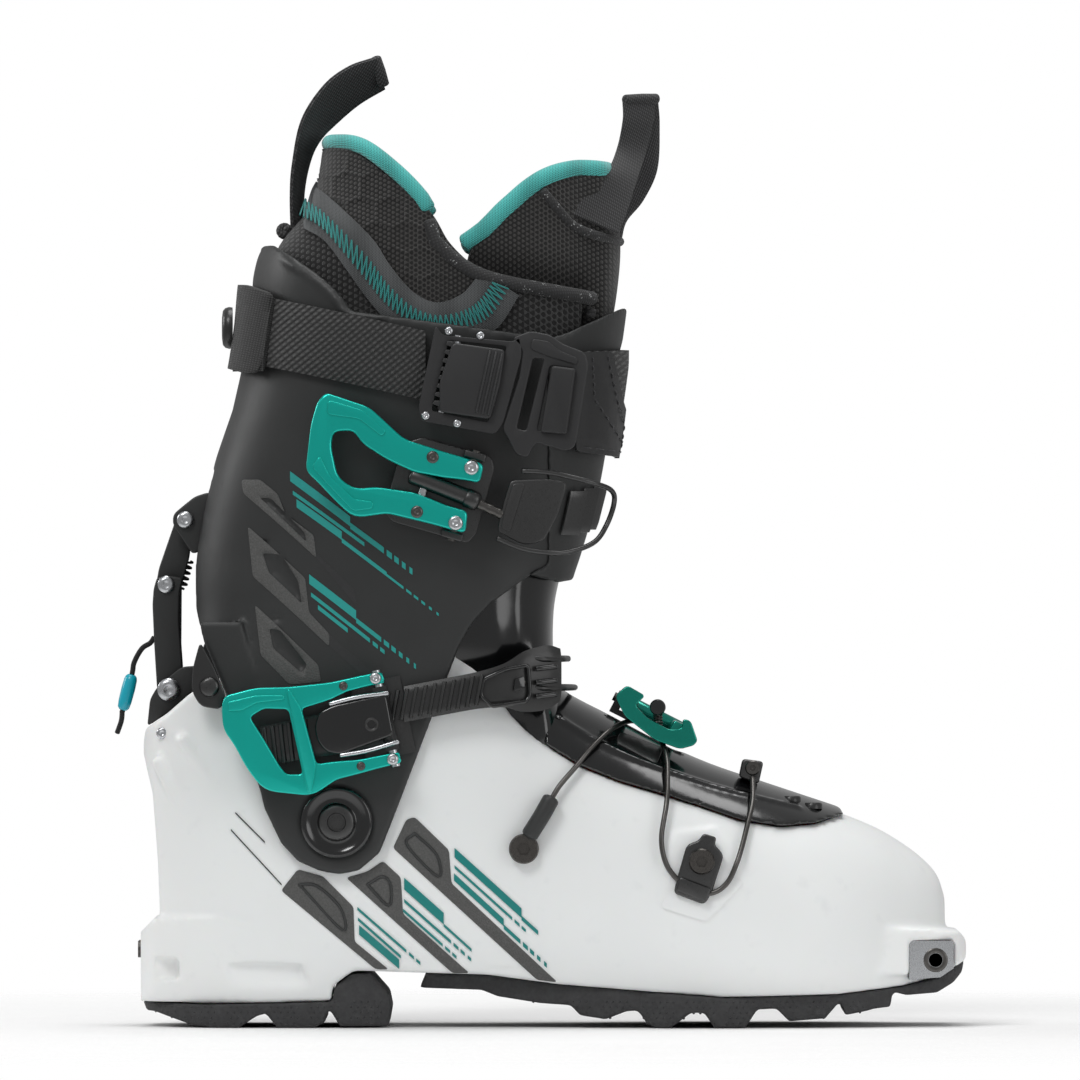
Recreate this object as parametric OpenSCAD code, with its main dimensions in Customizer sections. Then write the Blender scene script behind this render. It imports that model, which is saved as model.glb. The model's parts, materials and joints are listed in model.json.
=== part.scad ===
// Alpine touring boot, right foot. Millimetres.
// +X points to the toe, +Y to the inner side of the leg, +Z up. The sole rests on z = 0.

/* [Shell] */
// Half width of the lower shell beside the ankle pivots
ankle_half = 41.2; // [40.6:0.1:41.4]
// Wall thickness of the lower shell
shell_wall = 3.6; // [3:0.1:4]
// Half width of the sole under the ball of the foot
sole_half = 44; // [42:0.5:46]

/* [Cuff] */
// Half width of the inside of the cuff beside the ankle
cuff_half = 42.2; // [42:0.1:42.6]
// Wall thickness of the cuff
cuff_wall = 3.4; // [3:0.1:3.8]
// Radius of the pivot bolts
bolt_r = 4; // [3.5:0.1:4.5]

/* [Ski and walk lock] */
// Half width of the lock bar
bar_half = 7.5; // [6.5:0.5:8]
// Radius of the pin that the lock bar swings on
lock_pin_r = 2.5; // [2:0.1:3]

/* [Buckles] */
// Thickness of the lever plates
lever_t = 4; // [3:0.5:4.5]
// Radius of the hinge pins of the levers
hinge_r = 1.6; // [1.4:0.1:1.8]

/* [Mounts] */
// Radius of the toe pin sockets
toe_socket_r = 2.5; // [2.2:0.1:2.8]
// Distance from the centre plane to the bottom of each toe socket
toe_socket_floor = 26; // [24:0.5:27]

/* [Hidden] */
$fn = 32;
run = 0.05;
pivot_x = -78;
pivot_z = 74;
bar_x = -139;
bar_z = 121.3;
guide_x = -133;
guide_z = 182.6;
pawl_x = -140;
pawl_z = 159.2;
parting_r = 88;
parting_gap = 0.5;
upper_x = -32.4;
upper_z = 191.2;
upper_tilt = 16;
upper_y = -56;
ankle_x = -60.3;
ankle_z = 111.3;
ankle_tilt = -12;
ankle_y = -50.5;
strap_x = -28.4;
strap_y = -60.6;
strap_z = 232.9;
strap_tilt = 12.7;
cam_u = -9.2;
instep_x = 36;
instep_y = 14;
instep_z = 111.5;
instep_tilt = 27;

// Foot sections: x, centre y, half width, top z, roundness
foot = [
    [-148, 0, 14, 190, 3], [-146.8, 0, 20, 190, 3], [-143, 0, 28, 190, 3],
    [-135, 0, 34.2, 190, 3.2], [-122, 0, 38.4, 190, 3.6], [-104, 0, ankle_half - 0.4, 190, 4],
    [-84, 0, ankle_half, 190, 4], [-60, 0, ankle_half, 190, 4], [-44, 0, ankle_half, 178, 3.8],
    [-34, 0.2, ankle_half, 164, 3.4], [-22, 0.6, 41.4, 146, 3.1], [-10, 1, 42.5, 130, 2.8],
    [4, 1.8, 44.8, 119, 2.6], [20, 2.6, 47.6, 110.4, 2.5], [38, 3, 50.6, 100.8, 2.5],
    [56, 3.2, 52, 92.8, 2.5], [74, 3.6, 51.6, 86.6, 2.5], [90, 4.4, 49.2, 81.2, 2.5],
    [104, 5.4, 44.8, 76.4, 2.4], [117, 6.4, 38, 71, 2.3], [127, 7, 30, 65, 2.2],
    [134, 7.4, 22.5, 59.5, 2.2], [139, 7.6, 15, 53.5, 2.2], [141.5, 7.6, 8, 46, 2.2]];

// Leg sections of the cuff: z, rear x, front x, half width, roundness
leg = [
    [60, -131, -2, cuff_half, 5], [100, -130, -1, cuff_half, 5], [130, -127, 0, cuff_half, 4.4],
    [150, -126, 0.6, cuff_half, 3.8], [161, -126.2, 2.6, cuff_half + 0.4, 3.5],
    [170, -126, 5.5, cuff_half + 1, 3.2], [190, -122.6, 11.2, 45.4, 2.9],
    [210, -117.2, 15, 48.2, 2.7], [230, -111, 17.7, 51, 2.6], [250, -107.4, 21, 53, 2.5],
    [272, -105, 23.6, 54, 2.5], [283, -101, 24, 54, 2.5], [298, -88.5, 22.6, 53.6, 2.5],
    [325, -82.5, 22, 53, 2.5]];

// Seen from the side (x, z)
shell_line = [
    [-149, 9], [-149, 33], [-144, 36.5], [-144.5, 62], [-144.5, 84], [-148.5, 100], [-147.2, 107.4],
    [-140, 112], [-132, 119], [-118, 127], [-98, 134], [-70, 141], [-36, 144.5], [-29.5, 141],
    [-27.4, 129.6], [-15.8, 112.7], [-10, 106.6], [-0.4, 100], [9, 94], [23.4, 88.2],
    [40.3, 83.2], [54.7, 78.5], [67.3, 74.2], [81.7, 72], [94.3, 73], [100.1, 75.2], [115, 70.9],
    [129, 63.9], [138, 56.5], [140.9, 49.3], [141.4, 40], [146, 34.5], [148.8, 31], [148.8, 24],
    [139, 17.6], [125, 14.5], [103, 12], [60, 11], [2, 15.5], [-24, 19], [-72, 20.5], [-79.5, 15],
    [-80, 9.4], [-126, 8.3], [-142, 9.4]];
cover_line = [
    [-3, 124], [2.2, 124], [5.8, 121.7], [17.3, 114.1], [43.2, 99.4], [50.4, 95.8], [61.2, 92.9],
    [74.9, 87.8], [88.2, 83.2], [102.6, 78.8], [104.8, 76], [100.5, 75.4], [94.3, 73.5],
    [81.7, 72.5], [67.3, 74.7], [54.7, 79], [40.3, 83.7], [23.4, 88.7], [9, 94.5], [-3, 102]];
cuff_line = [
    [-104.5, 281.5], [-108.6, 276], [-109, 262], [-111.5, 244], [-116, 222], [-122, 205],
    [-126, 189], [-128.5, 179], [-130, 166], [-129.4, 152], [-126.4, 140], [-118.4, 121],
    [-105.5, 85.5], [-104, 79], [-98, 66.5], [-92, 60], [-84, 56.4], [-77, 55.2], [-70, 56.6],
    [-62.5, 63], [-56, 79.5], [-46.5, 104.5], [-34, 137], [-30, 144.5], [-23.4, 152], [-9, 162.4],
    [1.1, 166.8], [3.5, 200], [1.5, 247.5], [-72.5, 257.5], [-75.2, 261.4], [-79.2, 266],
    [-84.6, 270.6], [-93.2, 276.6], [-101, 281.5]];
flap_line = [
    [1.4, 160], [7.6, 161], [10.5, 171.8], [13, 181], [18, 200.5], [23.8, 243.4], [28, 258.5],
    [25.5, 259.3], [5, 249.8], [-2, 247.5], [-2, 167], [-9, 162.8]];

// ---------------------------------------------------------------- helpers

function near(table, v) = len([for (row = table) if (row[0] <= v) 1]) - 1;
function at(table, v, column) =
    let (i = max(0, min(len(table) - 2, near(table, v))),
         a = table[max(0, i - 1)], b = table[i], c = table[i + 1],
         d = table[min(len(table) - 1, i + 2)],
         s = min(1, max(0, (v - b[0]) / (c[0] - b[0]))),
         rise = c[0] - b[0],
         m = (c[column] - a[column]) / (c[0] - a[0]) * rise,
         n = (d[column] - b[column]) / (d[0] - b[0]) * rise)
    (2 * s * s * s - 3 * s * s + 1) * b[column] + (s * s * s - 2 * s * s + s) * m
    + (3 * s * s - 2 * s * s * s) * c[column] + (s * s * s - s * s) * n;
function power(v, e) = sign(v) * pow(abs(v), e);
function unit(v) = v / norm(v);

// A closed solid through rings of points that run anticlockwise about the way they travel
module loft(rings) {
    n = len(rings[0]);
    m = len(rings);
    polyhedron(
        points = [for (ring = rings) for (p = ring) p],
        faces = concat(
            [[for (i = [0 : n - 1]) i]],
            [for (j = [0 : m - 2]) for (i = [0 : n - 1])
                [j * n + i, (j + 1) * n + (i + 1) % n, j * n + (i + 1) % n]],
            [for (j = [0 : m - 2]) for (i = [0 : n - 1])
                [j * n + i, (j + 1) * n + i, (j + 1) * n + (i + 1) % n]],
            [[for (i = [n - 1 : -1 : 0]) (m - 1) * n + i]]));
}

// A round cord along a list of points
module cord(points, r, sides = 8, up = [0, 1, 0]) {
    last = len(points) - 1;
    loft([for (i = [0 : last])
        let (t = unit(points[min(last, i + 1)] - points[max(0, i - 1)]),
             u = unit(cross(up, t)), v = cross(t, u))
        [for (k = [0 : sides - 1])
            points[i] + r * (cos(360 * k / sides) * u + sin(360 * k / sides) * v)]]);
}

// An outline seen from the side, from one y to another
module side(points, y0, y1) {
    translate([0, y1, 0]) rotate([90, 0, 0]) linear_extrude(y1 - y0) polygon(points);
}

// A round bar across the boot
module across(x, z, r, y0, y1) {
    translate([x, y0, z]) rotate([-90, 0, 0]) cylinder(r = r, h = y1 - y0);
}

// A frame on the outer side of the boot: x along the part, z up it, y to the inner side
module placed(x, y, z, tilt) {
    translate([x, y, z]) rotate([0, tilt, 0]) children();
}

module mirrored() {
    children();
    mirror([0, 1, 0]) children();
}

// ---------------------------------------------------------------- surfaces

function foot_ring(x, inset, floor_z, sides) =
    let (top = at(foot, x, 3) - inset, half = max(2, at(foot, x, 2) - inset), e = at(foot, x, 4),
         mid = (top + floor_z) / 2, high = (top - floor_z) / 2)
    [for (i = [0 : sides - 1]) let (a = 360 * i / sides)
        [x - inset * x / 140 * (x < 0 ? 1.7 : 1), at(foot, x, 1) + half * power(cos(a), 2 / e),
            mid + high * power(sin(a), 2 / e)]];

module foot_form(inset, floor_z, sides = 28) {
    loft([for (row = foot) foot_ring(row[0], inset, floor_z, sides)]);
}

// A point on the leg at height z and angle a (0 forward, 90 inner side), moved out by d
function leg_point(z, a, d) =
    let (rear = at(leg, z, 1), front = at(leg, z, 2), w = at(leg, z, 3), e = at(leg, z, 4),
         long = (front - rear) / 2, c = cos(a), s = sin(a),
         n = unit([power(c, 2 - 2 / e) / long, power(s, 2 - 2 / e) / w, 0]))
    [(front + rear) / 2 + long * power(c, 2 / e), w * power(s, 2 / e), z] + d * n;

// The angle on the outer side at which the leg surface passes x
function leg_angle(z, x) =
    let (rear = at(leg, z, 1), front = at(leg, z, 2), e = at(leg, z, 4), long = (front - rear) / 2,
         u = max(-0.995, min(0.995, (x - (front + rear) / 2) / long)))
    -acos(power(u, e / 2));

module leg_form(d, z0, z1, steps = 14, sides = 32) {
    loft([for (j = [0 : steps]) let (z = z0 + (z1 - z0) * j / steps)
        [for (i = [0 : sides - 1]) leg_point(z, 360 * (i + 0.5) / sides, d)]]);
}

// A point on the outer side of the foot at x and height z, moved out by d
function foot_point(x, z, d) =
    let (top = at(foot, x, 3), e = at(foot, x, 4), mid = (top - 4) / 2, high = (top + 4) / 2)
    [x, at(foot, x, 1) - at(foot, x, 2) * pow(1 - pow(abs(z - mid) / high, e), 1 / e) - d, z];

// A strip that lies on the foot: rows of x, lower z and upper z, between two heights off it
strip_steps = 4;
module foot_strip(rows, d0, d1) {
    loft([for (row = rows)
        let (rise = (row[2] - row[1]) / strip_steps)
        concat([for (k = [0 : strip_steps]) foot_point(row[0], row[1] + rise * k, d1)],
               [for (k = [strip_steps : -1 : 0]) foot_point(row[0], row[1] + rise * k, d0)])]);
}

// A strip that lies on the leg: rows of x, lower z and upper z, between two heights off it
module strip(rows, d0, d1) {
    loft([for (row = rows)
        let (top = d1 + (len(row) > 3 ? row[3] : 0))
        [for (corner = [[1, d0], [1, top], [2, top], [2, d0]])
            leg_point(row[corner[0]], leg_angle(row[corner[0]], row[0]), corner[1])]]);
}

// A band round the leg: rows of angle, lower z, upper z and extra thickness
module band(rows, d0, d1) {
    loft([for (row = rows)
        [leg_point(row[1], row[0], d0), leg_point(row[1], row[0], d1 + row[3]),
         leg_point(row[2], row[0], d1 + row[3]), leg_point(row[2], row[0], d0)]]);
}

module above_parting(r) {
    difference() {
        side([[-175, 118], [-175, 300], [45, 300], [45, 112]], -70, 70);
        across(pivot_x, pivot_z, r, -80, 80);
    }
}

// ---------------------------------------------------------------- lower boot

module shell_rib(x0, z0, x1, z1, y, r) {
    hull() {
        translate([x0, y, z0]) sphere(r, $fn = 12);
        translate([x1, y, z1]) sphere(r, $fn = 12);
    }
}

module lower_shell() color([0.86, 0.86, 0.86]) {
    difference() {
        union() {
            intersection() {
                foot_form(0, -4, 36);
                side(shell_line, -70, 70);
            }
            // toe and heel lips that the bindings and crampons hold
            intersection() {
                hull() {
                    for (y = [-12, 24])
                        translate([134.8, y, 17]) cylinder(r = 14, h = 18, $fn = 48);
                    for (y = [-20, 28])
                        translate([100, y, 17]) cylinder(r = 14, h = 16, $fn = 48);
                }
                side([[84, 20], [139, 18], [148.8, 24], [148.8, 31], [146, 34.5], [120, 36], [84, 34]],
                     -60, 60);
            }
            intersection() {
                translate([-116, 0, 9]) cylinder(r = 33, h = 28, $fn = 48);
                side([[-149, 9], [-149, 33], [-144, 36.5], [-100, 36.5], [-100, 9]], -60, 60);
            }
            mirrored() {
                shell_rib(-118, 96, -132, 62, -36.6, 2.2);
                shell_rib(-100, 52, -112, 66, -38.9, 2);
            }
        }
        // room for the foot, open at the top
        difference() {
            foot_form(shell_wall, -4, 36);
            translate([-200, -80, 0]) cube([400, 160, 22]);
        }
        across(pivot_x, pivot_z, bolt_r + run, -60, 60);
        // narrow waist under the arch
        mirrored() translate([-20, -82, -2]) cylinder(r = 46, h = 24, $fn = 64);
        // seats for the metal fittings
        difference() {
            side(fitting_line, -60, 60);
            translate([120, 6 - 19.9, 0]) cube([19.9, 39.8, 60]);
        }
        translate([-155, -13.1, 10]) cube([13.6, 26.2, 24]);
    }
}

// Metal toe fitting, seen from the side
fitting_line = [[127.9, 16.9], [139.2, 17.8], [144.1, 21.1], [144.1, 31.1], [127.9, 31.1]];

inlays = [
    [[-98, 48.6, 50.2], [-92, 43.5, 57], [-83, 36, 54.5], [-72, 27.4, 43.5], [-66, 22.4, 26.4],
        [-59.6, 21.2, 21.6]],
    [[-74.4, 53.6, 54.4], [-67, 46.6, 56.2], [-61.4, 42, 60], [-55, 36, 54.1], [-44, 26.4, 32],
        [-36, 19.8, 24.6], [-31, 19.4, 20]],
    [[-57.6, 64, 65.4], [-53, 60, 74.8], [-46, 53.6, 72], [-37.7, 46, 63.9], [-30, 39, 46],
        [-14, 24, 31], [-6, 17.4, 23.4], [1, 16.4, 16.8]]];
short_inlay = [for (row = inlays[2]) if (row[0] < -6) row];

// the inner ones move out with the foot, which swings to the inner side towards the toe
module shell_inlays() color([0.28, 0.28, 0.28]) {
    for (rows = inlays)
        foot_strip(rows, 0.3, 0.7);
    for (i = [0 : 2])
        translate([0, i * 1.7, 0]) mirror([0, 1, 0])
            foot_strip(i < 2 ? inlays[i] : short_inlay, 0.3, 0.7);
}

heel_rows = [[-148.5, 9], [-147, 5.5], [-144, 5.4], [-130, 0.7], [-124, 0], [-113, 0], [-107, 4],
    [-103.5, 5], [-99.7, 0], [-85.7, 0], [-82, 2.2], [-81.7, 6], [-80.3, 6], [-77, 0.4], [-59.4, 0.4],
    [-58.3, 6.8], [-59.4, 12.2], [-66, 19.6], [-73, 19.2], [-79, 14.6], [-79.6, 9.2], [-126, 8.1]];
fore_rows = [[-48.2, 14], [-26, 13.3], [-20.2, 11], [-4.7, 8.6], [6.1, 7.9], [9.4, 4.3], [18.7, 2.9],
    [26, 5.8], [30.2, 6.1], [33.5, 1.4], [36.5, 0], [42.1, 0], [49.3, 5.4], [54, 5.4], [57.6, 0],
    [68.8, 0], [73.1, 6.5], [80, 6.8], [84.6, 2.2], [97.6, 3.2], [102.6, 9], [103.3, 9],
    [104.8, 4.3], [112.7, 5.8], [115.2, 6.5], [121.3, 7.2], [122, 12.6], [127, 11.2], [138.3, 12],
    [144.4, 15.5], [147.6, 19.1], [148.6, 23.8], [139, 17.4], [125, 14.3], [103, 11.8], [60, 10.8],
    [2, 15.3], [-24, 18.7], [-46, 19.3]];

module sole_plan(grow) {
    hull() {
        translate([96, 4.5, -1]) cylinder(r = 38 + grow, h = 30, $fn = 48);
        translate([52, 3, -1]) cylinder(r = sole_half + grow, h = 30, $fn = 48);
        translate([122, 6.5, -1]) cylinder(r = 26.5 + grow, h = 30, $fn = 48);
    }
    hull() {
        translate([30, 2, -1]) cylinder(r = 38 + grow, h = 30, $fn = 48);
        translate([-50, 0, -1]) cylinder(r = 24 + grow, h = 30, $fn = 48);
    }
}

module sole_heel() color([0.2, 0.2, 0.2]) intersection() {
    side(heel_rows, -60, 60);
    hull() {
        translate([-114, 0, -1]) cylinder(r = 34.5, h = 30, $fn = 48);
        translate([-75, 0, -1]) cylinder(r = 35, h = 30, $fn = 48);
    }
}

module sole_forefoot() color([0.2, 0.2, 0.2]) intersection() {
    side(fore_rows, -60, 60);
    sole_plan(0);
}

module toe_fitting() color([0.6, 0.6, 0.62]) difference() {
    intersection() {
        side(fitting_line, 6 - 31.5, 6 + 31.5);
        translate([128, -60, 17]) cube([16, 120, 14]);
    }
    for (s = [-1, 1])
        translate([137.5, 6 + s * toe_socket_floor, 24])
            rotate([-90 * s, 0, 0]) cylinder(r = toe_socket_r, h = 10);
    translate([120, 6 - 20, 10]) cube([20, 40, 30]);
}

module heel_fitting() color([0.6, 0.6, 0.62]) difference() {
    translate([-149, -13, 10.2]) cube([7.4, 26, 23.6]);
    for (s = [-1, 1]) {
        translate([-150, s * 6.5 - 3, 8]) cube([5, 6, 14]);
        translate([-150, s * 7, 27.5]) rotate([0, 90, 0]) cylinder(r = 1.6 + run, h = 20);
    }
}

module heel_screws() color([0.45, 0.45, 0.45]) for (s = [-1, 1])
    translate([-150.2, s * 7, 27.5]) rotate([0, 90, 0]) {
        cylinder(r = 3, h = 1.2);
        cylinder(r = 1.6, h = 8.4);
    }

module boot_board() color([0.15, 0.15, 0.15]) intersection() {
    foot_form(shell_wall + 1, -4, 20);
    side([[-136, 22.2], [-136, 29], [-60, 29], [0, 24.6], [125, 24.6], [125, 22.2]], -60, 60);
}

module footbed() color([0.1, 0.35, 0.33]) intersection() {
    foot_form(shell_wall + 5.5, -4, 20);
    side([[-128, 35.4], [-128, 39], [-60, 39], [0, 34.4], [118, 34.4], [118, 30.8], [0, 30.8],
        [-60, 35.4]],
         -60, 60);
}

module liner_boot() color([0.15, 0.15, 0.15]) difference() {
    intersection() {
        foot_form(shell_wall + 0.6, -4, 28);
        side([[-140, 29.2], [-60, 29.2], [0, 24.8], [127, 24.8], [127, 56], [120, 64], [100, 70.5],
              [82, 71], [56, 77], [24, 86.5], [-6, 99], [-24, 122], [-34, 150], [-106, 150],
              [-117, 139], [-124.6, 117], [-139, 100]], -60, 60);
        union() {
            across(pivot_x, pivot_z, parting_r, -60, 60);
            translate([-20, -60, 0]) cube([200, 120, 110]);
        }
    }
    difference() {
        foot_form(shell_wall + 5.2, -4, 28);
        side([[-160, 0], [-160, 35], [-60, 35], [0, 30.6], [160, 30.6], [160, 0]], -70, 70);
    }
    across(pivot_x, pivot_z, 9, 35, 60);
    across(pivot_x, pivot_z, 9, -60, -35);
}

module shell_tongue() color([0.16, 0.16, 0.16]) difference() {
    intersection() {
        union() {
            leg_form(-1.4, 140, 232, 5, 24);
            intersection() {
                foot_form(-0.6, -4, 20);
                side([[-40, 108], [-40, 150], [8, 150], [8, 90]], -60, 60);
            }
        }
        side([[-1.5, 149.4], [-2.4, 141], [-1.4, 134.6], [1, 128], [2, 124.5], [-3.4, 124.5],
            [-3.4, 104], [-10, 107.4], [-15.4, 113.6], [-26.6, 130], [-27, 141.8], [-22, 152], [-8, 163],
              [-4, 232], [22, 232], [14, 195], [7, 172], [1.4, 160]], -30, 30);
    }
    leg_form(-4.4, 130, 240, 5, 24);
    foot_form(3, -4, 20);
}

throat_screw_places = [[85.7, 79.2], [93.4, 76.8]];
module throat_cover() color([0.16, 0.16, 0.16]) difference() {
    intersection() {
        foot_form(-1.6, -4, 28);
        side(cover_line, -60, 60);
    }
    foot_form(3, -4, 28);
    for (p = throat_screw_places)
        translate([p[0], -18, p[1] - run]) cylinder(r = 3.4 + run, h = 10);
}

module throat_screws() color([0.3, 0.3, 0.3]) for (p = throat_screw_places)
    translate([p[0], -18, p[1]]) cylinder(r = 3.4, h = 3.2);

// ---------------------------------------------------------------- lock on the heel

module lock_bracket() color([0.27, 0.27, 0.27]) difference() {
    union() {
        mirrored() side([[-134.6, 129], [-128.6, 129.6], [-128.2, 121.8], [-132.1, 119.4],
            [-140.1, 112.4], [-146.8, 108], [-145.6, 117.8], [-143.4, 122]], -11.4, -8.6);
        side([[-130.2, 129.4], [-128.6, 129.4], [-128.2, 121.8], [-132.1, 119.4], [-132.4, 121]],
             -11.4, 11.4);
    }
    across(bar_x, bar_z, lock_pin_r + run, -20, 20);
}

module lock_pin() color("silver") {
    across(bar_x, bar_z, lock_pin_r, -12, 12);
    mirrored() across(bar_x, bar_z, 2.9, -12.6, -11.6);
}

module lock_bar() color([0.22, 0.22, 0.22]) difference() {
    union() {
        side([[-134.2, 162], [-135.6, 155.8], [-134.3, 129], [-134.8, 121.7], [-137, 117.6],
              [-141.4, 117.8], [-143.4, 122], [-145, 155.8], [-143.6, 162]], -bar_half, bar_half);
        side([[-134.6, 158], [-131.6, 169], [-129.8, 186], [-132, 187.6], [-136.6, 184],
              [-143, 165], [-144.4, 158]], -3.6, 3.6);
    }
    across(bar_x, bar_z, lock_pin_r + run, -20, 20);
    // channel for the pawl, open at the back
    side([[-137, 169], [-137, 130], [-150, 130], [-150, 169]], -4.6, 4.6);
    across(pawl_x, pawl_z, 2 + run, -20, 20);
}

module walk_pawl() color([0.35, 0.35, 0.35]) {
    side([[-139.2, 166], [-138, 158], [-138, 134], [-144.4, 134], [-144.8, 139], [-141.6, 146],
        [-143, 160], [-141.4, 166]],
         -3.4, 3.4);
    across(pawl_x, pawl_z, 2, -bar_half - 0.8, bar_half + 0.8);
    mirrored() across(pawl_x, pawl_z, 2.6, -bar_half - 1.1, -bar_half - 0.3);
}

module cuff_bracket() color([0.27, 0.27, 0.27]) difference() {
    mirrored() side([[-126.3, 192.1], [-132, 188.6], [-137.2, 184.8], [-137.4, 180.4], [-141, 167],
                     [-138, 166.4], [-130.8, 170.4], [-122, 176], [-119, 190]], -11.6, -9);
    across(guide_x, guide_z, 2.5 + run, -20, 20);
}

module guide_rivets() color("silver") mirrored() {
    across(guide_x, guide_z, 2.5, -12, -4.2);
    across(guide_x, guide_z, 3, -12.8, -11.8);
}

cord_route = [[-144.6, 0, 140], [-146, 0, 138], [-149, 0, 136], [-151.8, 0, 131], [-152.6, 0, 126.6]];
bead_top = [-152.6, 0, 126.6];
bead_end = [-155.9, 0, 113.8];
tail_route = [[-156.1, 0, 113.4], [-156.4, 0, 110], [-157.9, 0, 105.6]];

module pull_cord() color([0.08, 0.08, 0.08]) cord(cord_route, 0.95);

module cord_bead() color([0.02, 0.6, 0.68]) {
    cord([bead_top, (bead_top + bead_end) / 2, bead_end], 2.4, 12);
    cord(concat([bead_end], tail_route), 0.95);
}

// ---------------------------------------------------------------- cable over the instep

module cable_sleeve() color([0.4, 0.4, 0.4])
    cord([[-6.6, -45, 72.6], [-4.6, -45, 76], [-1.4, -44.8, 81.5]], 3);

lace_route = [[-1.2, -44.7, 81.9], [2, -43.8, 87], [8, -41, 94], [13, -37.9, 100.1], [19, -31.4, 105.9],
    [25, -20.6, 109.8]];
lace_return = [[38, -24, 101.6], [40, -32, 97], [40.4, -39, 90], [40.4, -45, 82], [39, -48.6, 69],
    [40.6, -49.8, 60], [43, -50, 55.6]];
lace_forward = [[58.4, -50.4, 49.6], [61.2, -50.6, 52.5], [64.6, -50.4, 58.5], [66.8, -48.8, 64],
    [69.4, -42.8, 73.6], [70.8, -35.8, 80.8], [71.6, -28.2, 87.6], [71.6, -24.6, 89.2]];

module lace_cable() color([0.5, 0.5, 0.5]) {
    cord(lace_route, 0.9);
    cord(lace_return, 0.9, 8, [1, 0, 0]);
    cord(lace_forward, 0.9);
}

module cable_clip() color([0.45, 0.45, 0.45]) difference() {
    side([[53.6, 70.2], [58.4, 68.6], [57.6, 66], [61, 62.4], [56.6, 48.8], [54, 44.4], [43, 48.6],
          [43.6, 52], [47.6, 66], [52, 67.6]], -51, -48.8);
    across(53, 60, 1.6 + run, -60, -45);
}

module cable_screws() color([0.35, 0.35, 0.35]) {
    across(53, 60, 1.6, -51.2, -48);
    difference() {
        across(53, 60, 4.6, -53, -51.1);
        across(53, 60, 2, -54, -52);
    }
    difference() {
        across(-10.8, 64.4, 5.4, -45.2, -42);
        across(-10.8, 64.4, 2.5, -46, -43.7);
    }
}

module cable_post() color([0.4, 0.4, 0.4]) {
    side([[68, 96.4], [75.6, 95.4], [73.8, 87.3], [66.6, 89.8]], -20, -14);
    across(71.6, 93.2, 2.7, -23.4, -20);
}

// ---------------------------------------------------------------- instep buckle

module instep_base() color([0.1, 0.1, 0.1]) placed(instep_x, instep_y, instep_z,
    instep_tilt) difference() {
    union() {
        translate([-15, -8, -5.6]) cube([30, 16, 2]);
        for (u = [-15, 12])
            translate([u, -3, -4]) cube([3, 6, 6.8]);
    }
    translate([-20, 0, 0]) rotate([0, 90, 0]) cylinder(r = hinge_r + run, h = 40);
}

module instep_pin() color("silver") placed(instep_x, instep_y, instep_z, instep_tilt)
    translate([-16, 0, 0]) rotate([0, 90, 0]) cylinder(r = hinge_r, h = 32);

module instep_lever() color([0, 0.33, 0.29]) placed(instep_x, instep_y, instep_z,
    instep_tilt) difference() {
    union() {
        translate([-11.6, -38, -2.4]) cube([5, 40, 4.8]);
        translate([6.6, -38, -2.4]) cube([5, 40, 4.8]);
        translate([-11.6, -42, -2.4]) cube([23.2, 8, 4.8]);
        translate([-11.6, 0, 0]) rotate([0, 90, 0]) cylinder(r = 3, h = 23.2);
    }
    translate([-20, 0, 0]) rotate([0, 90, 0]) cylinder(r = hinge_r + run, h = 40);
}

module instep_knob() color([0, 0.33, 0.29]) placed(instep_x, instep_y, instep_z, instep_tilt)
    translate([-6.4, -26, 0]) rotate([0, 90, 0]) cylinder(r = 2.6, h = 12.8);

// ---------------------------------------------------------------- ankle pivots

module pivot_bolts() color([0.3, 0.3, 0.3]) mirrored() difference() {
    union() {
        across(pivot_x, pivot_z, bolt_r, -46.4, -36.6);
        across(pivot_x, pivot_z, 12.4, -48.2, -45.9);
        across(pivot_x, pivot_z, 6, -50.2, -48.1);
        across(pivot_x, pivot_z, 8, -37, -35.4);
    }
    translate([pivot_x, -52, pivot_z]) rotate([-90, 0, 0]) cylinder(r = 3, h = 4, $fn = 6);
}

// ---------------------------------------------------------------- cuff

module cuff_shell() color([0.2, 0.2, 0.2]) difference() {
    union() {
        intersection() {
            leg_form(cuff_wall, 50, 290, 16, 40);
            side(cuff_line, -70, 70);
        }
        // flat cheeks beside the heel
        mirrored() side([[-112, 150], [-127, 148], [-126.4, 140], [-118.4, 121], [-110, 98],
            [-106, 112]],
                        -45.4, -42.4);
    }
    leg_form(0, 40, 300, 16, 40);
    // slot for the lock bar, and the open arch below it over the heel
    translate([-170, -13, 40]) cube([60, 26, 160]);
    translate([-170, -38.5, 40]) cube([60, 77, 104]);
    across(pivot_x, pivot_z, 80, -41, 41);
    across(pivot_x, pivot_z, bolt_r + run, -60, 60);
    for (z = [140 : 30 : 200])
        hull() {
            translate([-134, -9, z]) sphere(2, $fn = 8);
            translate([-134, 9, z]) sphere(2, $fn = 8);
        }
    for (s = [-1, 1])
        for (u = [0 : 2])
            hull() {
                translate([-97 - 2 * u, s * 60, 178 - 28 * u]) sphere(1, $fn = 8);
                translate([-94 - 2 * u, s * 60, 178 - 28 * u]) sphere(1, $fn = 8);
            }
}

module cuff_flap() color([0.2, 0.2, 0.2]) intersection() {
    difference() {
        leg_form(cuff_wall + 0.9, 158, 262, 8, 40);
        leg_form(cuff_wall * 0.5 - 0.4, 150, 270, 8, 40);
        side([[-200, 100], [-200, 300], [1.9, 300], [3.9, 200], [1.3, 164], [1.3, 100]], -70, 70);
    }
    side(flap_line, -60, 34);
}

function lane(x0, z0, x1, z1, low, high, steps) =
    [for (i = [0 : steps]) let (s = i / steps, x = x0 + (x1 - x0) * s, z = z0 + (z1 - z0) * s)
        [x, z - low, z + high]];

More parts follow.
